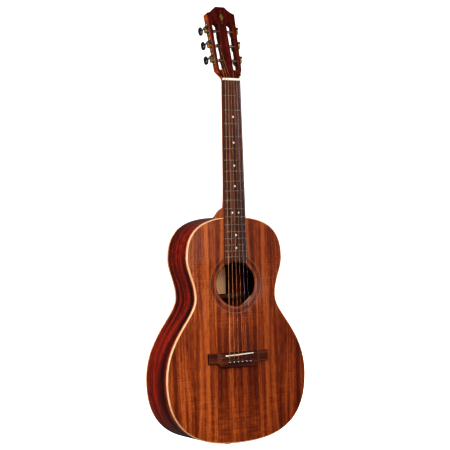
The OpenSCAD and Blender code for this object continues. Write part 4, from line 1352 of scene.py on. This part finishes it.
frets = grown("fret_wires", fret_blank(), fret_tree, {
    "String length": scale_len, "Nut height": nut_z, "Nut half": nut_half - 0.05 * mm,
    "Half growth": (board_w12 / 2 - nut_half) / (scale_len / 2), "Face": face_y - board_t,
    "Crown radius": board_r, "Count": fret_count, "Material": fret_metal})
dress(frets, fret_metal, stands_for=["frets"], sharp=50)

# %% [markdown]
# ## Position dots and head inlay
# Pearl dots mark the third, fifth, seventh, ninth, fifteenth and seventeenth frets, and a pair marks the
# twelfth. Each is a short disc let into the crown. The head carries a plain lozenge between two gold dots.

# %% Dots and head inlay
def fret_z(n):
    return nut_z - scale_len * (1 - 2 ** (-n / 12))


def disc(name, radius, up, down, soft_edge=0.12 * mm):
    profile = [(0, up), (radius - soft_edge, up), (radius, up - soft_edge), (radius, -down), (0, -down)]
    return lathe(name, profile, steps=32)


dot_spots = [(0, (fret_z(n) + fret_z(n - 1)) / 2) for n in (3, 5, 7, 9, 15, 17)]
dot_spots += [(x, (fret_z(12) + fret_z(11)) / 2) for x in (-8 * mm, 8 * mm)]
dots = copies_of("position_dots", disc("dot_blank", 2.4 * mm, 0.04 * mm, 1.2 * mm),
                 [(x, face_y - board_t + crown(x), z) for x, z in dot_spots],
                 [(x / board_r, -1, 0) for x, z in dot_spots], pearl)
dress(dots, pearl, stands_for=["inlays"])

motif_s = corner_s - 9 * mm
lozenge = [(0, motif_s + 11 * mm), (-5.5 * mm, motif_s), (0, motif_s - 11 * mm), (5.5 * mm, motif_s)]
slimmer = [(x * 0.96, motif_s + (s - motif_s) * 0.97) for x, s in lozenge]
head_mark = plate("head_lozenge", [(-0.05 * mm, [slimmer]), (0.05 * mm, [lozenge]), (0.8 * mm, [lozenge])],
                  on_head)
dress(head_mark, gold_inlay, stands_for=["inlays"])
face_way = Vector(on_head(0, -1, 0)) - Vector(on_head(0, 0, 0))
head_dots = copies_of("head_dots", disc("head_dot_blank", 1.3 * mm, 0.05 * mm, 0.7 * mm),
                      [on_head(0, 0, motif_s + step) for step in (14.5 * mm, -14.5 * mm)],
                      [face_way, face_way], gold_inlay)
dress(head_dots, gold_inlay)

# %% [markdown]
# ## Nut, saddle and bridge
# The nut and saddle are bone, and the strings' whole sound passes over them, so their tops are rounded and
# polished. The nut keeps the frame's slotted shape, with its edges eased. The bridge is carved: thick under
# the saddle and the pins, thin at its wings, with every top edge rolled over. It is built as a sheet of
# heights that falls away near its outline.

# %% Nut
softened("nut", bone, width=0.35 * mm)

# %% Saddle
saddle_w, saddle_half = 2.8 * mm, 36.5 * mm
bridge_t = bridge_high.y - bridge_low.y
bridge_y = face_y - bridge_t
bridge_line = nut_z - scale_len
saddle_mid = bridge_line - 2.5 * mm
slant = math.radians(2.35)
saddle_top = 11.6 * mm
saddle_foot, saddle_round = 5.4 * mm, 1.4 * mm


def saddle_point(along, across, y):
    return (along * math.cos(slant) - across * math.sin(slant), y,
            saddle_mid + along * math.sin(slant) + across * math.cos(slant))


saddle_rings = []
for k in range(61):
    along = saddle_half * (-math.cos(math.pi * k / 60))
    from_end = saddle_half - abs(along)
    short = saddle_round - min(from_end, saddle_round)
    round_off = saddle_round - math.sqrt(max(saddle_round ** 2 - short ** 2, 0))
    peak = face_y - saddle_top + crown(along) + round_off
    ring = [saddle_point(along, -saddle_w / 2, bridge_y + saddle_foot)]
    for a in range(0, 181, 20):
        ring.append(saddle_point(along, -saddle_w / 2 * math.cos(math.radians(a)),
                                 peak + 0.9 * mm * (1 - math.sin(math.radians(a)))))
    ring.append(saddle_point(along, saddle_w / 2, bridge_y + saddle_foot))
    saddle_rings.append(ring)
dress(loft("saddle_blade", saddle_rings), bone, stands_for=["saddle"], sharp=50)

# %% Bridge
bridge_half = bridge_high.x
bridge_up, wing_down, belly_down = 3.6 * mm, 21.3 * mm, 30 * mm
belly_half, shelf_half, wing_t = 42 * mm, 56 * mm, 4.4 * mm
scoop_half, scoop_len = 57 * mm, 13 * mm


def lower_edge(x):
    share = min(max((shelf_half - abs(x)) / (shelf_half - belly_half), 0), 1)
    return bridge_line - wing_down - (belly_down - wing_down) * ease(share)


def bridge_rise(x):
    share = min(max((scoop_half - abs(x)) / scoop_len, 0), 1)
    return wing_t + (bridge_t - wing_t) * ease(share)


def bridge_sheet():
    columns, rows_, roll = 120, 26, 1.6 * mm
    grid = []
    for i in range(columns + 1):
        u = i / columns
        x = bridge_half * (2 * u - 1) if 0.03 < u < 0.97 else bridge_half * math.copysign(
            1 - 0.06 * (1 - math.sin(math.pi / 2 * min(min(u, 1 - u) / 0.03, 1))), u - 0.5)
        low, high = lower_edge(x), bridge_line + bridge_up
        column = []
        for j in range(rows_ + 1):
            v = (1 - math.cos(math.pi * j / rows_)) / 2
            z = low + (high - low) * v
            near = min(z - low, high - z, bridge_half - abs(x))
            drop = roll - math.sqrt(max(roll ** 2 - (roll - min(near, roll)) ** 2, 0))
            column.append((x, face_y - bridge_rise(x) + drop, z))
        grid.append(column)
    rings = []
    for column in grid:
        x = column[0][0]
        rings.append(column + [(x, face_y, column[-1][2]), (x, face_y, column[0][2])])
    return loft("bridge_body", rings)


dress(bridge_sheet(), bridge_wood, stands_for=["bridge"], sharp=50)

# %% [markdown]
# ## Bridge pins and strap button
# A pin is turned from black plastic: a tapered shank, a round flared head, and a pearl dot in its end. Six
# copies of one pin stand on the pin line. The strap button is turned in the same way and screwed to the tail.

# %% Bridge pins
saddle_spread = 54 * mm
pin_z = bridge_line - 18.3 * mm


def pin_x(n):
    return saddle_spread * (3.5 - n) / 5


pin_profile = [(0, 2.7), (1.3, 2.68), (1.35, 2.86), (2.2, 2.72), (3.1, 2.2), (3.7, 1.5), (3.9, 1.0),
               (3.7, 0.55), (3.0, 0.25), (2.6, 0), (2.4, -12), (2.2, -25), (1.7, -26), (0, -26)]
pin_blank = lathe("pin_blank", in_mm(pin_profile), steps=32)
pin_points = [(pin_x(n), bridge_y, pin_z) for n in range(1, 7)]
pins = copies_of("bridge_pins_turned", pin_blank, pin_points, [(0, -1, 0)] * 6, black_plastic)
dress(pins, black_plastic, stands_for=["bridge_pins"], sharp=50)
eye_profile = [(0, 3.0), (0.7, 2.97), (1.1, 2.88), (1.1, 2.3), (0, 2.3)]
eye = lathe("eye_blank", in_mm(eye_profile), steps=24)
eyes = copies_of("pin_dots", eye, pin_points, [(0, -1, 0)] * 6, pearl)
dress(eyes, pearl)

# %% Strap button
button_low, button_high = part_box("strap_button")
strap_r = button_high.x
strap_profile = [(0, 0.35), (strap_r / mm - 1.6, 0.2), (strap_r / mm - 0.6, 0.05), (strap_r / mm, 0.7),
                 (strap_r / mm, 1.8), (strap_r / mm - 0.6, 2.6), (strap_r / mm - 1.6, 3.4), (4.6, 4.4),
                 (4.1, 5.6), (4.3, 7.2), (5.0, 8.3), (6, 9), (3.4, 9.05), (3.1, 33), (0, 33)]
strap_button = lathe("strap_button_turned", in_mm(strap_profile),
                     lambda x, y, h: (x, y, button_low.z + h), 48)
dress(strap_button, black_plastic, stands_for=["strap_button"], sharp=50)

# %% [markdown]
# ## Strings
# Each string is anchored by its ball end under the bridge plate, comes up beside its pin, bends over the
# saddle, runs to the nut and down through the slot to its roller. The four low ones are wound with bronze:
# the tube's UV holds the distance along the string, so the winding is one sine of it.

# %% String places
nut_spread = 37.6 * mm
string_r = [0, 0.15 * mm, 0.2 * mm, 0.31 * mm, 0.41 * mm, 0.53 * mm, 0.68 * mm]
wrap_x = [0, 20.2 * mm, 20.2 * mm, 21.4 * mm, 21.6 * mm, 19.6 * mm, 18.6 * mm]
wrap_gap = 0.15 * mm
nut_top = 8 * mm                          # above the soundboard, in the nut's slots
pin_r, pin_gap, plate_under = 2.6 * mm, 0.12 * mm, 2.4 * mm


def wrap_turns(n):
    return 7 if n < 3 else 4


def string_path(n):
    r, x_nut, x_saddle = string_r[n], nut_spread * (3.5 - n) / 5, pin_x(n)
    leave_z = pin_z + pin_r + pin_gap + r
    return [
        (x_saddle, face_y + top_t + plate_under + 2.1 * mm, leave_z),
        (x_saddle, bridge_y - r - 0.1 * mm, leave_z),
        (x_saddle, face_y - saddle_top + crown(x_saddle) - r, saddle_mid + x_saddle * math.tan(slant)),
        (x_nut, face_y - nut_top + crown(x_nut) - r, nut_z),
        on_head(side_of(n) * wrap_x[n], roller_depth - roller_r - r - wrap_gap, roller_s(n)),
    ]


def eased_path(points, radius):
    """The same path with each bend turned into a short curve."""
    points = [Vector(p) for p in points]
    out = [points[0]]
    for before, at, after in zip(points, points[1:], points[2:]):
        a, b = (before - at), (after - at)
        near = min(radius, a.length * 0.4, b.length * 0.4)
        p, q = at + a.normalized() * near, at + b.normalized() * near
        out += [p * (1 - t) ** 2 + at * 2 * t * (1 - t) + q * t * t for t in (0, 0.25, 0.5, 0.75, 1)]
    return out + [points[-1]]


def tube(name, path, radius, sides=14):
    rings, run = [], [0.0]
    across = Vector((1, 0, 0))
    for k, at in enumerate(path):
        ahead, behind = path[min(k + 1, len(path) - 1)], path[max(k - 1, 0)]
        along = (ahead - behind).normalized()
        across = (across - along * across.dot(along)).normalized()
        other = along.cross(across)
        rings.append([tuple(at + (across * math.cos(2 * math.pi * j / sides) +
                                  other * math.sin(2 * math.pi * j / sides)) * radius) for j in range(sides)])
        if k:
            run.append(run[-1] + (at - behind).length)
    return loft(name, rings, uv=lambda i, j: (run[i], j / sides))


def wound_finish(name, dark, light, pitch, rough):
    material, tree, shader = new_finish(name, Metallic=1.0)
    place = tree.nodes.new("ShaderNodeSeparateXYZ")
    tree.links.new(own_uv(tree), place.inputs[0])
    turns = sums(tree, "MULTIPLY", place.outputs["X"], 2 * math.pi / pitch)
    wave = sums(tree, "SINE", turns, 0.0)
    cloud = noise(tree, scaled(tree, own_place(tree), (900, 900, 60)), 3.0)
    colour = ramp(tree, cloud, [(0.35, dark), (0.65, light)])
    # Painted shade: the colour darkens in the grooves between the winding's wraps.
    painted_groove_shade = between(tree, wave, -1.0, 0.2, 0.6, 0.0)
    colour = blend_of(tree, "MULTIPLY", painted_groove_shade, colour, (0.35, 0.25, 0.2, 1))
    tree.links.new(colour, shader.inputs["Base Color"])
    tree.links.new(between(tree, cloud, 0.3, 0.7, rough - 0.05, rough + 0.1), shader.inputs["Roughness"])
    relief(tree, shader, wave, 0.5, 0.0001)
    return material


bronze = wound_finish("phosphor_bronze", (0.36, 0.18, 0.10), (0.56, 0.33, 0.20), 0.5 * mm, 0.32)


ball_lift = 1.65 * mm                     # the ball's middle, clear of its pin


def ball_end(n):
    x, y, z = string_path(n)[0]
    z += ball_lift
    profile = [(0.75, -1.5), (1.4, -2), (1.8, -1.6), (1.6, -0.5),
               (1.6, 0.5), (1.8, 1.6), (1.4, 2), (0.75, 1.5)]
    rings = [[(x + h * mm, y + r * mm * math.sin(2 * math.pi * k / 24),
               z + r * mm * math.cos(2 * math.pi * k / 24)) for r, h in profile] for k in range(24)]
    return loft("ball_end", rings, closed_path=True)


def string_set(name, numbers):
    parts = []
    for n in numbers:
        parts.append(tube("string", eased_path(string_path(n), 1.2 * mm), string_r[n]))
        parts.append(ball_end(n))
    return joined(name, parts)


dress(string_set("wound_strings_set", (3, 4, 5, 6)), bronze, stands_for=["wound_strings"],
      sharp=50)
dress(string_set("plain_strings_set", (1, 2)), plain_steel, stands_for=["plain_strings"],
      sharp=50)

# %% [markdown]
# ## Tuning machines
# Each machine is a plate with two ears, a worm on its shaft with a button, and a gear on the end of a roller.
# The worm turns on one body and the gear with its roller on another, so each piece rides on its own. The
# plates, gears and rollers keep the frame's exact shapes with their edges eased. The worm's thread is swept
# anew, finely, and fades out at its ends as a cut thread does.

# %% Plates, gears and rollers
softened("tuner_plates", aged_nickel, width=0.18 * mm, name="tuner_plates_pressed")
for n in range(1, 7):
    softened(f"gear_{n}", brass, body=f"roller_{n}", width=0.12 * mm)
    softened(f"roller_{n}", roller_metal, body=f"roller_{n}", width=0.15 * mm)

# %% Worms
worm_out, worm_lift, worm_pitch_r, shaft_r = 6.2 * mm, 8 * mm, 2.8 * mm, 1.5 * mm
gear_teeth = 14
lead = 2 * math.pi * (worm_lift - worm_pitch_r) / gear_teeth
thread_root, thread_tip, thread_half = worm_pitch_r - 0.7 * mm, worm_pitch_r + 0.6 * mm, 3.3 * mm
ear_outer = 5.2 * mm
shaft_front = ear_outer + 2.2 * mm
button_y, button_deep, button_len, button_t = 15 * mm, 14 * mm, 19.5 * mm, 7.5 * mm


def along_y(x, y, h):
    return (x, h, y)


def thread():
    turns = (2 * thread_half - 1.6 * mm) / lead
    count = int(turns * 40)
    rings = []
    for i in range(count + 1):
        t = i / count * turns - turns / 2
        a = 2 * math.pi * t + math.pi
        fade = min(1, min(i, count - i) / 10)
        tip = thread_root - 0.1 * mm + (thread_tip - thread_root + 0.1 * mm) * fade
        rings.append([(c * math.sin(a), t * lead + w, c * math.cos(a)) for c, w in (
            (thread_root - 0.3 * mm, -0.75 * mm), (tip - 0.12 * mm, -0.26 * mm), (tip, -0.14 * mm),
            (tip, 0.14 * mm), (tip - 0.12 * mm, 0.26 * mm), (thread_root - 0.3 * mm, 0.75 * mm))])
    return loft("thread", rings)


def into_place(obj, n, shift=(worm_out, 0, worm_lift)):
    obj.data.transform(unit_place(n) @ Matrix.Translation(shift))
    if side_of(n) < 0:
        obj.data.flip_normals()
    return obj


core = [(0, -shaft_front), (0.9 * mm, -shaft_front), (1.1 * mm, -shaft_front + 0.2 * mm),
        (1.1 * mm, -shaft_front + 0.4 * mm), (shaft_r, -shaft_front + 0.45 * mm), (shaft_r, -thread_half),
        (thread_root, -thread_half + 0.4 * mm), (thread_root, thread_half - 0.4 * mm), (shaft_r, thread_half),
        (shaft_r, button_y + 7.6 * mm), (1.1 * mm, button_y + 8 * mm), (0, button_y + 8 * mm)]
boss = [(shaft_r + 0.02 * mm, -shaft_front + 0.5 * mm), (2.1 * mm, -shaft_front + 0.25 * mm),
        (2.6 * mm, -shaft_front + 0.6 * mm), (2.7 * mm, -shaft_front + 1.0 * mm),
        (2.7 * mm, -ear_outer - 0.1 * mm), (shaft_r + 0.02 * mm, -ear_outer - 0.1 * mm)]
collar = [(shaft_r + 0.02 * mm, ear_outer + 0.1 * mm), (2.7 * mm, ear_outer + 0.1 * mm),
          (2.7 * mm, ear_outer + 1.5 * mm), (2.3 * mm, ear_outer + 2.0 * mm),
          (shaft_r + 0.02 * mm, ear_outer + 2.0 * mm)]


def turned_ring(name, section, steps=40):
    rings = [[(r * math.cos(2 * math.pi * k / steps), h, r * math.sin(2 * math.pi * k / steps))
              for r, h in section] for k in range(steps)]
    return loft(name, rings, closed_path=True)


for n in range(1, 7):
    worm = into_place(joined(f"worm_{n}_cut", [lathe("core", core, along_y), thread(),
                                               turned_ring("collar", collar)]), n)
    dress(worm, aged_nickel, body=f"worm_{n}", stands_for=[f"worm_{n}"], sharp=40)
    cap = into_place(turned_ring(f"worm_cap_{n}", boss), n)
    dress(cap, black_plastic, body=f"worm_{n}", sharp=40)

# %% [markdown]
# ## Tuner buttons
# The buttons are black ovals, thick in the middle and softly pinched, that the fingers turn. One rule gives
# the shape: a rounded box whose corners are as round as its power says, with a waist across its faces.

# %% Tuner buttons
def signed_power(value, power):
    return math.copysign(abs(value) ** power, value)


def button_shape(name):
    half = (button_t / 2, button_deep / 2, button_len / 2)
    rows_, columns, verts, faces = 24, 48, [], []
    for i in range(1, rows_):
        up = math.pi * (i / rows_ - 0.5)
        for j in range(columns):
            turn = 2 * math.pi * j / columns
            x = signed_power(math.cos(up), 0.8) * signed_power(math.cos(turn), 0.62)
            y = signed_power(math.cos(up), 0.8) * signed_power(math.sin(turn), 0.8)
            z = signed_power(math.sin(up), 0.85)
            pinch = 1 - 0.16 * math.exp(-(z / 0.45) ** 2 - (y / 0.6) ** 2)
            verts.append((x * half[0] * pinch, y * half[1], z * half[2]))
    verts += [(0, 0, -half[2]), (0, 0, half[2])]
    for i in range(rows_ - 2):
        for j in range(columns):
            k = (j + 1) % columns
            faces.append((i * columns + j, i * columns + k, (i + 1) * columns + k, (i + 1) * columns + j))
    foot, head, top_row = len(verts) - 2, len(verts) - 1, (rows_ - 2) * columns
    for j in range(columns):
        k = (j + 1) % columns
        faces += [(foot, k, j), (head, top_row + j, top_row + k)]
    return closed_mesh(name, verts, faces)


sleeve = [(shaft_r, -button_deep / 2 - 2.5 * mm), (2.3 * mm, -button_deep / 2 - 2.5 * mm),
          (2.6 * mm, -button_deep / 2 - 2.0 * mm), (2.4 * mm, -button_deep / 2 - 0.6 * mm),
          (3.0 * mm, -button_deep / 2 + 0.8 * mm), (shaft_r, -button_deep / 2 + 1.2 * mm)]
for n in range(1, 7):
    knob = joined(f"button_{n}_oval", [button_shape("oval"), turned_ring("sleeve", sleeve)])
    into_place(knob, n, (worm_out, button_y + button_deep / 2, worm_lift))
    dress(knob, black_plastic, body=f"worm_{n}", stands_for=[f"button_{n}"], sharp=50)

# %% [markdown]
# ## Plate screws
# Two small slotted screws hold each plate to the head's side. One screw is made, its slot is cut with a
# Boolean, and the copying tree sets it on the twelve screw holes, facing outwards on both sides of the head.

# %% Plate screws
plate_thick = 1.2 * mm
screw_ups = (-8.4 * mm, 15 * mm)
screw_profile = [(0, 1.1), (0.9, 1.05), (1.7, 0.8), (2.2, 0.35), (2.3, 0), (1.1, 0), (1.05, -2.6),
                 (0.4, -3.4), (0, -3.8)]
screw = lathe("screw_blank", in_mm(screw_profile), steps=28)
slot_box = loft("slot_box", [[(x * mm, y * mm, z * mm) for x, z in ((-0.3, 0.55), (0.3, 0.55), (0.3, 2),
                                                                  (-0.3, 2))] for y in (-3, 3)])
cut_away(screw, slot_box)
screw_points, screw_ways = [], []
for n in range(1, 7):
    place = unit_place(n)
    for up in screw_ups:
        screw_points.append(place @ Vector((plate_thick, 0, up)))
        screw_ways.append(place.to_3x3() @ Vector((1, 0, 0)))
screws = copies_of("plate_screws", screw, screw_points, screw_ways, screw_metal)
dress(screws, screw_metal, stands_for=["tuner_screws"], sharp=40)

# %% [markdown]
# ## Turns on the rollers
# The string's end goes through a hole in its roller and is wound over it in close turns until it is taut. The
# tree draws that as a spiral, gives it the string's thickness, and adds the short end that sticks out behind.
# The turns go round with the roller, so each set rides on that roller's body.

# %% Turns on the rollers
tail_before, tail_behind = 3.4 * mm, 6.2 * mm
turn_tree, turn_start, turn_end = new_tree("string_turns", [
    ("Turns", "NodeSocketFloat"), ("Core radius", "NodeSocketFloat"), ("Wire radius", "NodeSocketFloat"),
    ("Tail shift", "NodeSocketFloat"), ("Material", "NodeSocketMaterial")])
given = turn_start.outputs
path_r = sums(turn_tree, "ADD", given["Core radius"], given["Wire radius"])
length = sums(turn_tree, "MULTIPLY", given["Turns"], sums(turn_tree, "MULTIPLY", given["Wire radius"], 2.0))
spiral = put(turn_tree, "GeometryNodeCurveSpiral", Resolution=40, Rotations=given["Turns"],
             Start_Radius=path_r, End_Radius=path_r, Height=length)
laid = put(turn_tree, "GeometryNodeTransform", Geometry=spiral, Rotation=(0, math.pi / 2, 0))
tail_from = put(turn_tree, "ShaderNodeCombineXYZ", X=given["Tail shift"], Y=-tail_before, Z=0.0)
tail_to = put(turn_tree, "ShaderNodeCombineXYZ", X=given["Tail shift"], Y=tail_behind, Z=0.0)
tail = put(turn_tree, "GeometryNodeCurvePrimitiveLine", Start=tail_from, End=tail_to)
both = turn_tree.nodes.new("GeometryNodeJoinGeometry")
turn_tree.links.new(laid, both.inputs[0])
turn_tree.links.new(tail, both.inputs[0])
ring = put(turn_tree, "GeometryNodeCurvePrimitiveCircle", Resolution=10, Radius=given["Wire radius"])
wire = put(turn_tree, "GeometryNodeCurveToMesh", Curve=both.outputs[0], Profile_Curve=ring, Fill_Caps=True)
finish_tree(turn_tree, turn_start, turn_end, wire)

for n in range(1, 7):
    r = string_r[n]
    material = plain_steel if n < 3 else bronze
    start_x = wrap_x[n] - wrap_gap - r * (1 + 2 * wrap_turns(n)) + r - head_half(roller_s(n))
    coil = grown(f"turns_{n}", bpy.data.meshes.new(f"turns_{n}"), turn_tree, {
        "Turns": float(wrap_turns(n) - 1), "Core radius": roller_r, "Wire radius": r,
        "Tail shift": -r - 1.1 * mm, "Material": material})
    into_place(coil, n, (start_x, 0, 0))
    dress(coil, material, body=f"roller_{n}",
          stands_for=[f"winding_{n}"], sharp=60)

# %% [markdown]
# ## Measures and finish
# The dressed guitar has to keep the frame's size. The last line prints how many pieces were made.

# %% Measures and finish
print("pieces made:", len(pieces_made))
